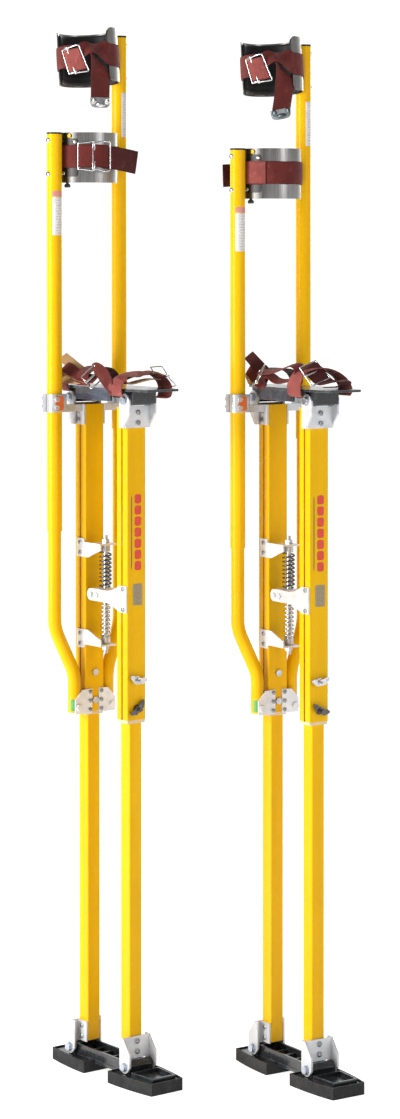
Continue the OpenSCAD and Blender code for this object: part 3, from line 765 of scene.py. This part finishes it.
def band_screws(sign, heights):
    """Pan heads outside the pole and shanks inside it."""
    head = [(4.6, 0), (4.6, 0.8), (4.0, 2.0), (2.4, 2.8), (2.1, 2.8), (1.9, 1.4), (0, 1.4)]
    outer, inner = POLE_X + POLE_R - 0.2, POLE_X - POLE_R + 0.3
    screws = []
    for z in heights:
        screws.append(lathe(head, (sign * outer, POLE_Y, z), (sign, 0, 0), 24))
        screws.append(lathe([(4.0, 0), (4.0, 6.5)], (sign * inner, POLE_Y, z), (-sign, 0, 0), 20))
    return screws


def wire_wraps(place, along, across, high, r=2.1, wire=0.75):
    """Where a buckle's wires meet: three turns on either side of the strap."""
    turn = np.linspace(0, 2 * math.pi, 9)[:-1]
    wraps = []
    for c in (-across, across):
        for k in (-1.5, 0, 1.5):
            loop = [place(along + r * math.cos(q), c + k, high + r * math.sin(q)) for q in turn]
            wraps.append(tube(loop, wire, True, 8, 0.6))
    return wraps


def tail_piece(side, name, body, mat, rows):
    """The free end of a leg strap; gives the smooth rows back."""
    rows = smooth_rows(rows)
    piece(name, side, body, mat, [strip(rows, 1.9, 12, 0.55, 0.30)])
    return rows


# ---- knee cuff

KNEE_LEAN = math.radians(5.0)
CUFF_ACROSS = (0, math.tan(KNEE_LEAN), 1)


def knee_place(side):
    """Turns angle, radius and height from the pole's top into a point of the leaning cuff."""
    middle_y = POLE_Y - 39 * math.sin(KNEE_LEAN)

    def place(a, r, z):
        a = math.radians(a)
        return [r * math.cos(a), middle_y + r * math.sin(a),
                KNEE_TOP[side] + z - r * math.sin(a) * math.tan(KNEE_LEAN)]
    return place


def knee_cuff(side):
    place = knee_place(side)
    shell = rounded_ends(arc(place, -83, 150, 1.0, CUFF_ACROSS, 90, (50, -39)), 9)
    ob = piece("knee_cuff_shell", side, "knee", "band", [strip(shell, 2, 12, 0.8)])
    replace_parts(ob, f"{side}_knee_band")
    top = KNEE_TOP[side]
    piece("knee_cuff_screws", side, "knee", "silver", band_screws(1, (top - 14, top - 72)))


def knee_pad(side):
    """The foam lining: full in the middle, a seam near each edge, soft dents, closed at its ends."""
    def swell(t, x):
        full = 2.9 * max(0.02, 1 - abs(x) ** 7) ** 0.5
        seam = 0.9 * math.exp(-((abs(x) - 0.80) / 0.045) ** 2)
        near_end = min(1, min(t, 1 - t) / 0.022)
        end = min(1.0, math.sqrt(max(0.0, 1 - (1 - near_end) ** 2)) + 0.06)
        dents = 0.18 * math.sin(19 * t + 2 * x) * (1 - x * x)
        return max(0.2, (full - seam + dents) * end)
    rows = rounded_ends(arc(knee_place(side), -82, 148, 1.0, CUFF_ACROSS, 84, (45.75, -39)), 7)
    pad = piece("knee_pad_cushion", side, "knee", "foam", [strip(rows, 2, 26, swell=swell)], 70)
    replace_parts(pad, f"{side}_knee_pad")


def knee_strap(side):
    """Under the roller, round the back, over the cuff's far end, then twisted across the opening."""
    place = knee_place(side)
    main = arc(place, 206, -80, 1.6, CUFF_ACROSS, 37.5, (52.3, -41))
    cross = [main[-6], main[-1],
             [*place(-90, 53.2, -37.5), 0.10, 0.10, 1.0, 37],
             [*place(-100, 53.8, -34.5), 0.30, 0.42, 0.86, 34],
             [*place(-110, 54.2, -32.0), 0.45, 0.66, 0.60, 30],
             [*place(-120, 54.4, -30.5), 0.42, 0.64, 0.55, 27],
             [*place(-130, 54.6, -31.5), 0.24, 0.36, 0.85, 28],
             [*place(-138, 54.6, -35.5), 0.05, 0.12, 1.0, 30],
             [*place(-144, 54.3, -41.0), 0, 0.05, 1.0, 33]]
    rows = main[:-6] + smooth_rows(cross, 1.4)
    strap = piece("knee_strap_web", side, "knee", "web", [strip(rows, 1.9, 10, 0.5, 0.16)])
    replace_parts(strap, f"{side}_knee_strap")


def knee_buckle(side):
    """The roller buckle, skewed as it hangs, and the turn of strap through it."""
    place = knee_place(side)
    a_mid, z_mid, r_mid = 212, -49.0, 57.2

    def on_strap(a, c, h):
        return place(a_mid + math.degrees((a - 0.36 * c) / r_mid), r_mid + h, z_mid + 0.95 * c + 0.12 * a)

    def skewed(a0, a1, high):
        out = []
        for i in range(9):
            a = a0 + (a1 - a0) * i / 8
            lo, hi = np.array(on_strap(a, -WEB_W / 2, high)), np.array(on_strap(a, WEB_W / 2, high))
            out.append([*((lo + hi) / 2), *unit(hi - lo), WEB_W])
        return out
    turn = (skewed(8, -13, -2.9)[::2] + skewed(-16.5, -16.6, -1.0)[:1]
            + skewed(-14, 12, 0.9)[::2] + skewed(15.5, 15.6, -1.6)[:1])
    rows = smooth_rows(turn, 1.3)
    # Painted highlight: this turn of strap has the lighter copy of the webbing.
    piece("knee_strap_turn", side, "knee", "web_painted_highlight", [strip(rows, 1.8, 10, 0.5, 0.22)])
    front = [(-7, 20.5, 0.6), (-4, 22.4, 0.4), (4, 23.2, 1.6), (12, 23.4, 2.4), (15.4, 21.5, 2.4),
             (15.6, 10, 2.2), (15.6, -10, 2.2), (15.4, -21.5, 2.4), (12, -23.4, 2.4), (4, -23.0, 1.6),
             (-4, -22.4, 0.4), (-7, -20.5, 0.6)]
    half = [(-18.5, 18.5, 0.2), (-17, 21.2, 0.4), (-11, 21.8, 1.4), (-6.5, 20.9, 1.0), (-5.6, 19.6, 0)]
    back = half + [(a, -c, h) for a, c, h in reversed(half)]
    wires = [
        tube([on_strap(*q) for q in front], 1.25, True),
        tube([on_strap(*q) for q in back], 1.15, True),
        tube([on_strap(-13.8, c, -1.0) for c in (-19.5, -8, 8, 19.5)], 1.9),
        *wire_wraps(on_strap, -6.4, 21.6, 0.6),
        tube([on_strap(-11, 24.5, 1.0), on_strap(-10, 23.0, 2.4), on_strap(-8.0, 21.5, 2.6)], 0.9),
    ]
    piece("knee_buckle", side, "knee", "chrome", wires)


def knee_tail(side):
    """The hanging end of the strap; heights count from the pole's top."""
    if side == "right":
        rows = [(-28, 20.1, -28, 0.50, 0.82, 0.22, 24), (-26, 16.8, -36, 0.60, 0.76, 0.18, 27),
                (-21.5, 13.8, -46, 0.80, 0.56, 0.10, 32), (-15.5, 12.2, -57, 0.95, 0.28, 0.03, 36),
                (-11.8, 11.9, -69, 1, 0.05, 0, 38), (-11, 12.3, -86, 1, 0, 0, 38),
                (-11, 12.6, -102), (-11, 12.8, -116)]
    else:
        rows = [(-27, 20.1, -25, 0.50, 0.82, 0.22, 22), (-23, 16.1, -36, 0.62, 0.76, 0.10, 27),
                (-16, 13.6, -49, 0.86, 0.50, 0, 33), (-10.5, 12.2, -62, 0.98, 0.15, 0.10, 38),
                (-9.8, 11.8, -74, 0.98, 0, 0.17, 38), (-12.0, 12.2, -92, 0.98, 0, 0.19, 38),
                (-15.0, 12.6, -110), (-16.4, 12.8, -120, 0.98, 0, 0.18, 38)]
    knee_tail_tip(side, tail_piece(side, "knee_strap_tail", "knee", "web", filled(rows, KNEE_TOP[side])))


def knee_tail_tip(side, tail):
    """The metal tip: a folded plate with three pressed lobes."""
    end = np.array(tail[-1])
    across = unit(end[3:6])
    down = np.cross(across, [0, -1, 0])
    down = down if down[2] < 0 else -down
    face = np.array([0, -1.0, 0])

    def at(a, b, h=0.0):
        return end[:3] + across * a + down * b + face * h
    plate = rounded_ends([[*at(0, b), *across, WEB_W + 0.6] for b in np.linspace(-20, 10, 31)], 9)
    plate = [r for r in plate if np.dot(np.array(r[:3]) - end[:3], down) > -7.5]
    piece("knee_tail_tip_plate", side, "knee", "rivet", [strip(plate, 3.2, 10, 0.7)])
    lobes = []
    rings, seg = 6, 28
    for ca, cb, ra, rb in ((-13.6, -1.5, 5.6, 6.2), (13.6, -1.5, 5.6, 6.2), (0, 4.6, 10.5, 4.6)):
        points = []
        for i in range(rings):
            q = math.pi / 2 * i / (rings - 1)
            for k in range(seg):
                w = 2 * math.pi * k / seg
                points.append(at(ca + ra * math.cos(q) * math.cos(w), cb + rb * math.cos(q) * math.sin(w),
                                 1.4 + 1.7 * math.sin(q)))
        lobes.append((points, [*wall_faces(rings, seg), list(range(seg))], None))
    piece("knee_tail_tip", side, "knee", "chrome" if side == "right" else "dark_chrome", lobes)


# ---- calf band

STRAP_Z = -41


def calf_place(side):
    """Turns angle, radius and height from the pole's top into a point of the calf band."""
    def place(a, r, z):
        a = math.radians(a)
        return [r * math.cos(a), POLE_Y + r * math.sin(a), CALF_TOP[side] + z]
    return place


def calf_band(side):
    place = calf_place(side)
    shell = rounded_ends(arc(place, 172, 328, 1.0, UPRIGHT, 84, (50, -42)), 8)
    ob = piece("calf_band_shell", side, "calf", "band", [strip(shell, 2, 12, 0.8)])
    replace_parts(ob, f"{side}_calf_band")
    tab = rounded_ends(arc(place, 181, 217, 1.0, UPRIGHT, 64, (51.55, -42)), 5)
    piece("calf_band_tab", side, "calf", "band_tab", [strip(tab, 1.0, 10, 0.8)])
    top = CALF_TOP[side]
    screws = band_screws(-1, (top - 13.5, top - 70))
    for a, z in ((186, -68), (211, -16)):
        q = math.radians(a)
        screws.append(rivet(place(a, 51.9, z), (math.cos(q), math.sin(q), 0), 3.0, 1.4))
    piece("calf_band_screws", side, "calf", "silver", screws)
    knob = [(2.6, 0), (2.6, 3), (4.4, 3.6), (5.2, 5), (5.2, 8), (4.4, 9), (0, 9.2)]
    piece("calf_knob", side, "calf", "knob", [lathe(knob, place(190, 46.8, -83), (0, 0, -1), 24)])
    q = math.radians(200)
    keeper = [(3.6, 0), (3.6, 0.8), (2.9, 1.5), (0, 1.7)]
    piece("calf_keeper", side, "calf", "yellow",
          [lathe(keeper, place(200, 52.0, -5.5), (math.cos(q), math.sin(q), 0), 20)])


def right_calf_strap():
    """Buckled in front: the strap turns back through the buckle and its end runs on across the front."""
    place = calf_place("right")
    near = STRAP_Z + 1

    def one(a, r):
        return [[*place(a, r, near), *UPRIGHT, WEB_W]]
    main = arc(place, 238, -78, 1.4, UPRIGHT, WEB_W, (53.1, near), (53.6, STRAP_Z - 1))
    strap = piece("calf_strap_web", "right", "calf", "web", [strip(main, 1.9, 10, 0.5, 0.16)])
    turn = (arc(place, 250, 226, 6, UPRIGHT, WEB_W, (55.6, near)) + one(221.5, 56.6) + one(219.6, 57.6)
            + arc(place, 223, 262, 6, UPRIGHT, WEB_W, (58.9, near + 0.4)) + one(269, 57.4) + one(274, 55.6))
    rows = smooth_rows(turn, 1.3)
    piece("calf_strap_turn", "right", "calf", "web", [strip(rows, 1.8, 10, 0.5, 0.22)])
    free_end = filled([(16, 10.2, -1.8, 0.04, 0, 1, 38), (30, 11.0, -3.4, 0.08, 0, 1, 38.4),
                       (44, 12.4, -5.2, 0.10, 0.02, 1, 38.6), (56, 13.6, -7.0, 0.12, -0.02, 1, 38.6),
                       (65, 13.2, -8.6, 0.13, -0.05, 1, 38.4)], CALF_TOP["right"] + STRAP_Z)
    start = [[*place(a, r, STRAP_Z + z), *UPRIGHT, WEB_W] for a, r, z in ((262, 55.6, 0), (270, 55.4, -0.6))]
    tail_piece("right", "calf_strap_tail", "calf", "web_wine", start + free_end)
    calf_buckle()
    return strap


def calf_buckle():
    place = calf_place("right")
    a_mid, r_mid = 248, 58.4

    def on_strap(a, c, h):
        return place(a_mid + math.degrees(a / r_mid), r_mid + h, STRAP_Z + 1 + c)
    front = [(-4, 20, 0.4), (-1, 21.4, 0.8), (7, 22.6, 1.2), (14, 24.4, 2.6), (22, 24.2, 2.6),
             (26.6, 22.2, 2.0), (27.4, 12, 1.6), (27.4, -12, 1.6), (26.6, -22.2, 2.0), (22, -24.4, 2.6),
             (14, -25.2, 2.8), (7, -22.6, 1.2), (-1, -21.4, 0.8), (-4, -20, 0.4)]
    back = [(-29, 18.5, -1.0), (-27.5, 21.4, 0.0), (-18, 22.2, 0.6), (-9, 23.6, 2.2), (-5, 24.6, 2.6),
            (-1.5, 21.5, 1.6), (-1.2, 19, 0.4), (-1.2, -19, 0.4), (-1.5, -21.5, 1.6), (-5, -24.2, 2.6),
            (-9, -23.8, 2.2), (-18, -22.4, 0.6), (-27.5, -21.4, 0.0), (-29, -18.5, -1.0)]
    wires = [
        tube([on_strap(*q) for q in front], 1.25, True),
        tube([on_strap(*q) for q in back], 1.15, True),
        tube([on_strap(-26.5, c, -1.6) for c in (-19.5, -8, 8, 19.5)], 1.2),
        *wire_wraps(on_strap, -2.6, 22.4, 0.8),
    ]
    piece("calf_buckle", "right", "calf", "chrome", wires)


def left_calf_strap():
    """Wound past its own start, with a slight wave; its end stands off behind."""
    place = calf_place("left")
    main = arc(place, 262, -98, 1.4, UPRIGHT, WEB_W, (52.7, STRAP_Z))
    for i, r in enumerate(main):
        r[2] += 0.5 * math.sin(i / 9)
    strap = piece("calf_strap_web", "left", "calf", "web", [strip(main, 1.9, 10, 0.5, 0.16)])
    lap = arc(place, 226, 176, 1.4, UPRIGHT, WEB_W, (54.7, STRAP_Z + 0.4), (54.9, STRAP_Z + 0.8))
    # Painted highlight: this lap has the lighter copy of the webbing.
    piece("calf_strap_lap", "left", "calf", "web_painted_highlight", [strip(lap, 1.8, 10, 0.5, 0.2)])
    start = [[*place(a, r, STRAP_Z + z), *UPRIGHT, WEB_W]
             for a, r, z in ((60, 54.8, 0), (75, 54.8, 0), (90, 54.4, -0.5))]
    free_end = filled([(-20, 119.6, -1.2, 0, 0.02, 1, 38), (-42, 118.9, -2.4, 0, 0.03, 1, 38),
                       (-62, 118.2, -3.6, 0, 0.05, 1, 38)], CALF_TOP["left"] + STRAP_Z)
    tail_piece("left", "calf_strap_tail", "calf", "web_wine", start + free_end)
    return strap


# ---- foot straps

def wire_buckle(side, name, origin, along, across, w, l):
    """A double wire frame with a roller, flat in the plane of along and across."""
    o, a, c = np.array(origin) + (0, 0, FOOT_TOP), unit(np.array(along)), np.array(across)
    c = unit(c - a * np.dot(a, c))
    n = np.cross(a, c)

    def place(x, y, h=0.0):
        return list(o + a * x + c * y + n * h)
    front = [(-1, w - 1.5), (1, w), (l - 3, w + 1.2, 1), (l, w - 1, 1), (l, 0, 0.6), (l, 1 - w, 1),
             (l - 3, -w - 1.2, 1), (1, -w), (-1, 1.5 - w)]
    back = [(1, w - 2.5), (-1, w - 0.5, 1), (-l * 0.7, w - 0.5, 2), (-l * 0.8, w - 3, 2),
            (-l * 0.8, 3 - w, 2), (-l * 0.7, 0.5 - w, 2), (-1, 0.5 - w, 1), (1, 2.5 - w)]
    wires = [
        tube([place(*q) for q in front], 1.3, True),
        tube([place(*q) for q in back], 1.15, True),
        tube([place(0, -w + 1, 0.4), place(0, 0, 0.4), place(0, w - 1, 0.4)], 1.9),
        *wire_wraps(place, 0, w - 0.6, 0.4, 2.2, 0.8),
    ]
    piece(name, side, "foot", "chrome", wires)


def web_piece(side, name, mat, rows, inner=0):
    """A stretch of foot strap; heights are above the foot plate."""
    rows = smooth_rows(filled(rows, FOOT_TOP))
    return piece(name, side, "foot", mat, [strip(rows, 2.0, 10, 0.5, 0.2, inner=inner)])


def right_foot_straps():
    """Toe and instep arches, the loops and ends heaped over them, two buckles; gives the toe arch back."""
    # Painted highlight: the toe arch has the lighter copy of the webbing.
    toe = web_piece("right", "toe_strap_web", "web_painted_highlight", [
        (-39, -75, -12, 0, 1, 0, 36), (-43.8, -75, -8, 0, 1, 0, 37), (-44.6, -75, 0, 0, 1, 0, 38),
        (-42.4, -75, 7), (-35, -76, 15, 0.05, 1, 0.05, 38), (-20, -78, 21, 0.05, 1, 0.1, 38),
        (0, -81, 24, 0, 1, 0.12, 38), (20, -85, 24, 0, 1, 0.1, 38), (34, -89, 18, 0, 1, 0, 38),
        (42.5, -92, 8), (45.5, -93, -4), (43, -93, -14, 0, 1, 0, 37), (37, -92, -17, 0, 1, 0, 35)])
    web_piece("right", "toe_strap_loop_web", "web_tan", [
        (30, -101, 22, 0.15, 1, 0.05, 26), (16, -97, 27, 0.15, 1, 0.05, 28),
        (0, -93, 25, 0.15, 1, 0.05, 30), (-14, -89, 20, 0.15, 1, 0.05, 31), (-26, -86, 21),
        (-34, -84, 20, 0.15, 1, 0, 31), (-36.5, -84, 14.5), (-33, -85, 9),
        (-24, -88, 8, 0.15, 1, 0, 30), (-8, -94, 12), (8, -99, 15, 0.15, 1, 0, 28),
        (22, -102, 14, 0.15, 1, 0, 26)], inner=1)
    wire_buckle("right", "toe_strap_buckle", (36.5, -95, 19), (0.62, -0.12, -0.78), (0.05, 1, 0),
                19, 23)
    web_piece("right", "instep_strap_web", "web", [
        (-37, 24, 1.2, 0, 1, 0, 38), (-40, 25, 10), (-36, 27, 20, 0.05, 1, 0, 38),
        (-22, 30, 28, 0.05, 1, 0.05, 38), (-4, 32, 31, 0, 1, 0.05, 38), (14, 34, 29, 0, 1, 0, 38),
        (28, 37, 21), (36, 39, 10), (36, 40, 1.2)])
    web_piece("right", "instep_strap_lap", "web", [
        (-26, 12, 30, 0.35, 0.75, 0.55, 24), (-30, 0, 31, 0.5, 0.45, 0.75, 24),
        (-33, -16, 27, 0.55, 0.2, 0.8, 24), (-37, -32, 20, 0.55, 0, 0.8, 24),
        (-40, -46, 12, 0.45, -0.1, 0.85, 23), (-42.5, -57, 5, 0.3, -0.1, 0.95, 22),
        (-44.5, -66, -1, 0.1, -0.1, 1, 20)])
    web_piece("right", "instep_strap_loop_web", "web_tan", [
        (-34, -6, 12, 0.8, 0.1, 0.6, 21), (-34, 12, 13, 0.8, 0.1, 0.6, 22), (-35, 30, 15),
        (-36, 46, 19, 0.8, 0.1, 0.6, 23), (-37, 62, 26, 0.8, 0.1, 0.6, 24), (-37.5, 74, 30),
        (-37, 83, 29, 0.8, 0.15, 0.55, 24), (-36, 87, 22, 0.8, 0.2, 0.5, 24),
        (-35, 83, 14, 0.8, 0.15, 0.5, 23), (-34, 72, 9, 0.85, 0.1, 0.45, 22),
        (-33, 52, 8, 0.85, 0, 0.45, 21), (-32, 30, 8, 0.85, 0, 0.45, 20)], inner=1)
    web_piece("right", "instep_strap_end", "web_tan", [
        (-20, 54, 22, 0.8, 0, 0.5, 22), (-22, 70, 30), (-24, 86, 39, 0.8, 0.1, 0.5, 22),
        (-26, 101, 47, 0.8, 0.1, 0.5, 21)], inner=-1)
    web_piece("right", "instep_strap_base", "web", [
        (-29, 84, -10, 0, 1, 0, 22), (-34, 83, -4, 0.1, 1, 0, 24), (-34, 82, 3), (-27, 80, 5.5),
        (-14, 79, 5.5)])
    wire_buckle("right", "instep_strap_buckle", (-36, -1, 17), (0.05, -0.85, -0.52), (0.6, -0.15, 0.75),
                15, 18)
    return toe


def left_foot_straps():
    """The same straps, heaped another way."""
    # Painted highlight: the toe arch has the lighter copy of the webbing.
    toe = web_piece("left", "toe_strap_web", "web_painted_highlight", [
        (-39, -66, -13, 0, 1, 0, 36), (-43.8, -66, -9, 0, 1, 0, 38), (-45.2, -66.5, 2),
        (-44.5, -68, 12), (-41, -71, 22, 0.1, 1, 0.05, 38), (-32, -74, 30),
        (-16, -77, 34, 0.05, 1, 0.05, 38), (2, -80, 33, 0, 1, 0, 38), (20, -82, 27), (34, -85, 17),
        (42, -87, 5), (44, -88, -4), (40, -88, -12, 0, 1, 0, 36)])
    web_piece("left", "toe_strap_loop_web", "web_wine", [
        (-27, -70, 36, 0.8, -0.2, 0.5, 28), (-24, -80, 35, 0.8, -0.15, 0.5, 30),
        (-20, -91, 27, 0.82, -0.05, 0.5, 31), (-15, -100, 17, 0.86, 0.05, 0.4, 31),
        (-9, -108, 11, 0.9, 0.1, 0.25, 30), (0, -116, 12, 0.95, 0.15, 0.1, 29),
        (9, -123, 14, 0.95, 0.2, 0.05, 28), (14.5, -127.5, 11.5, 0.95, 0.2, 0, 28), (13, -126, 6.5),
        (5, -119, 4, 0.95, 0.15, 0, 28), (-6, -110, 3.4, 0.95, 0.1, 0, 27)])
    wire_buckle("left", "toe_strap_buckle", (-23, -90, 27), (0.25, -0.6, -0.7), (0.8, 0.25, 0.55),
                18, 21)
    web_piece("left", "instep_strap_web", "web_wine", [
        (-35, 45, 1.2, 0, 1, 0, 38), (-38, 45, 9), (-34, 44, 19, 0.05, 1, 0, 38),
        (-21, 43, 26, 0.05, 1, 0.05, 38), (-4, 42, 28, 0, 1, 0.05, 38), (14, 42, 27, 0, 1, 0, 38),
        (29, 42, 19), (36, 43, 9), (35, 44, 1.2)])
    web_piece("left", "instep_strap_loop_web", "web", [
        (-37, 42, 24, 0.9, 0.1, 0.35, 20), (-38, 16, 24), (-37, -12, 28),
        (-34, -38, 36, 0.9, 0.05, 0.3, 20), (-32, -53, 38, 0.9, -0.05, 0.25, 21),
        (-31, -64, 31, 0.9, -0.2, 0.2, 21), (-32, -60, 20, 0.9, -0.1, 0.25, 21),
        (-35, -44, 13, 0.9, 0, 0.3, 20), (-36, -22, 10, 0.9, 0.05, 0.35, 20),
        (-36, -4, 11, 0.9, 0.05, 0.35, 19), (-36, 12, 17, 0.9, 0.1, 0.35, 19),
        (-36, 26, 20, 0.9, 0.1, 0.35, 18)])
    web_piece("left", "instep_strap_heap", "web_tan", [
        (-35, 28, 4, 0.5, 0.1, 0.85, 22), (-37, 42, 6, 0.45, 0.1, 0.9, 22),
        (-38, 54, 12, 0.45, 0.1, 0.9, 23), (-38, 66, 21, 0.5, 0.1, 0.85, 24),
        (-36, 76, 28, 0.6, 0.1, 0.8, 24), (-33, 83, 26, 0.7, 0.2, 0.7, 24), (-31, 83, 17),
        (-31, 75, 10, 0.7, 0.1, 0.7, 24), (-31, 62, 8, 0.7, 0, 0.7, 23)], inner=1)
    web_piece("left", "instep_strap_end", "web_wine", [
        (-25, 50, 24, 0.8, 0, 0.5, 23), (-26, 64, 32), (-27, 79, 42, 0.8, 0.1, 0.5, 23),
        (-28, 91, 50, 0.8, 0.1, 0.5, 22)])
    wire_buckle("left", "instep_strap_buckle", (-39.5, 44, 15), (0, -0.75, 0.65), (0.6, 0.4, 0.65),
                14, 17)
    return toe


# ---- rivets, labels and small marks

def rivets(name, side, body, rows):
    """Rivet heads; each row is x, y, z, the axis, and the head's radius and height."""
    piece(name, side, body, "rivet", [rivet(row[:3], row[3:6], *row[6:]) for row in rows])


def bracket_rivets(side):
    low_face, up_face = 77, 79.3
    low_pair, up_pair = (51, 68), (1109, 1092)
    web, flange, guide = (4.3, 1.6), (3.9, 1.5), (3.5, 1.4)
    signs = (-1, 1)
    rivets("front_lower_rivets", side, "front_leg", [(0, -low_face, z, 0, -1, 0, *web) for z in low_pair])
    rivets("rear_lower_rivets", side, "rear_leg",
           [(0, low_face, z, 0, 1, 0, *web) for z in low_pair]
           + [(s * 16.9, 59.3, z, s, 0, 0, *flange) for s in signs for z in (50, 68)])
    rivets("front_upper_rivets", side, "front_strut",
           [(0, -up_face, z, 0, -1, 0, *web) for z in up_pair]
           + [(-22.8, -66, SLIDER_Z + z, -1, 0, 0, *guide) for z in (-17, 17)])
    rivets("rear_upper_rivets", side, "rear_strut",
           [(0, up_face, z, 0, 1, 0, *web) for z in up_pair]
           + [(s * 23.2, 59.3, z, s, 0, 0, *flange) for s in signs for z in (1110, 1092)]
           + [(-22.8, 56, SLIDER_Z + s * z, -1, 0, 0, *guide) for s in signs for z in (68, 85)]
           + [(s * 11.5, REAR_FACE - 3.8, OUTER_Z + z, 0, -1, 0, *guide) for s in signs for z in (34, 19, 4)])


def marks(side):
    """Plain patches where the real ones carry print."""
    y = FRONT_FACE - 0.12
    for i in range(7):
        z = 848 + i * 18.4
        patch(f"stripe_{i + 1}", side, "front_strut", "red", (-4, 9.5), y, (z, z + 15.4), 6, 8, 3.0)
    patch("thin_line", side, "front_strut", "green_line", (-11.2, -9.6), y, (850, 972), 2, 20, 0.6)
    patch("small_patch", side, "front_strut", "grey_patch", (-8, 12), y, (790, 826), 6, 10, 1.5)
    top = CALF_TOP[side]
    pole_label("calf_pole_label", side, "calf", "label", -POLE_X, (top - 172, top - 108), (218, 336))
    pole_label("calf_pole_label_head", side, "calf", "label_head", -POLE_X, (top - 107, top - 98), (218, 336))
    top = KNEE_TOP[side]
    pole_label("knee_pole_label", side, "knee", "label", POLE_X, (top - 172, top - 97), (252, 350))
    rows = []
    for i in range(17):
        a = math.radians(196 + 66 * i / 16)
        rows.append([-34 + 11.25 * math.cos(a), 55.6 + 11.25 * math.sin(a), 613, *UPRIGHT, 20])
    piece("base_patch", side, "rear_strut", "green_patch", [strip(rounded_ends(rows, 2), 0.18, 8)])
    patch("clamp_patch", side, "rear_strut", "orange_patch", (-77, -60), 48.9, (1109, 1133), 6, 8, 1.2)


for side in ("right", "left"):
    spring(side, "upper", "spring_dark", 9.4, 1.5, 1)
    spring(side, "lower", "spring_bright", 8.2, 1.3, -1)
    knee_cuff(side)
    knee_pad(side)
    knee_strap(side)
    knee_buckle(side)
    knee_tail(side)
    calf_band(side)
    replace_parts(right_calf_strap() if side == "right" else left_calf_strap(), f"{side}_calf_strap")
    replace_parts(right_foot_straps() if side == "right" else left_foot_straps(), f"{side}_foot_straps")
    bracket_rivets(side)
    marks(side)


# ---- stage, light and camera

SIGHT = math.radians(35.5)


def floor_shader():
    s = Shader("pale_floor")
    tone = s.ramp(s.noise(1.2, 2), [(0.3, (0.86, 0.86, 0.86)), (0.7, (0.89, 0.89, 0.89))])
    return s.finish(tone, 0.8, Emission_Color=(1, 1, 1, 1), Emission_Strength=0.74, Specular_IOR_Level=0.1)


def lay_floor():
    far = 60
    plane = bpy.data.meshes.new("floor")
    plane.from_pydata([(-far, -far, 0), (far, -far, 0), (far, far, 0), (-far, far, 0)], [], [(0, 1, 2, 3)])
    plane.materials.append(floor_shader())
    floor = bpy.data.objects.new("floor", plane)
    bpy.context.scene.collection.objects.link(floor)


def hang_sky():
    """White where the camera looks; as a light it is brighter in front of the camera than behind it."""
    world = bpy.data.worlds.new("studio")
    bpy.context.scene.world = world
    world.use_nodes = True
    parts, join = world.node_tree.nodes, world.node_tree.links.new
    ray = parts.new("ShaderNodeTexCoord")
    toward = parts.new("ShaderNodeVectorMath")
    toward.operation = "DOT_PRODUCT"
    toward.inputs[1].default_value = (math.sin(SIGHT), math.cos(SIGHT), 0)
    glow = parts.new("ShaderNodeMapRange")
    for key, v in (("From Min", 0.45), ("From Max", 0.86), ("To Min", 0.28), ("To Max", 1.06)):
        glow.inputs[key].default_value = v
    join(ray.outputs["Generated"], toward.inputs[0])
    join(toward.outputs["Value"], glow.inputs["Value"])
    seen = parts.new("ShaderNodeLightPath")
    brighter = parts.new("ShaderNodeMath")
    brighter.operation = "MAXIMUM"
    join(glow.outputs["Result"], brighter.inputs[0])
    join(seen.outputs["Is Camera Ray"], brighter.inputs[1])
    join(brighter.outputs["Value"], parts["Background"].inputs["Strength"])
    parts["Background"].inputs["Color"].default_value = (1, 1, 1, 1)


def aimed(ob, direction):
    ob.rotation_mode = "QUATERNION"
    ob.rotation_quaternion = Vector(direction).to_track_quat("-Z", "Y")
    bpy.context.scene.collection.objects.link(ob)


def area(name, at, aim, size, power, colour=(1, 1, 1)):
    light = bpy.data.lights.new(name, "AREA")
    light.shape = "RECTANGLE"
    light.size, light.size_y = size
    light.energy = power
    light.color = colour
    ob = bpy.data.objects.new(name, light)
    ob.location = at
    aimed(ob, Vector(aim) - Vector(at))


def set_camera():
    """Stands where the photo was taken from, with the frame shifted down as the photo is cut."""
    camera = bpy.data.objects.new("camera", bpy.data.cameras.new("camera"))
    camera.data.lens = 92.32
    camera.data.sensor_width = 36
    camera.data.shift_y = -0.25
    camera.data.clip_end = 100
    camera.location = (-2.782, -3.878, 1.387)
    aimed(camera, (math.sin(SIGHT), math.cos(SIGHT), -0.0124))
    bpy.context.scene.camera = camera
    bpy.context.scene.view_settings.view_transform = "Standard"


lay_floor()
hang_sky()
area("key", (-3.6, 0.5, 1.6), (0, 0, 0.9), (1.3, 2.8), 180, (1.0, 0.985, 0.96))
area("fill", (0.7, -2.6, 2.0), (0, 0, 1.2), (0.9, 1.2), 16)
area("rim", (3.4, 2.4, 2.4), (0, 0, 1.0), (1.2, 2.4), 40)
set_camera()
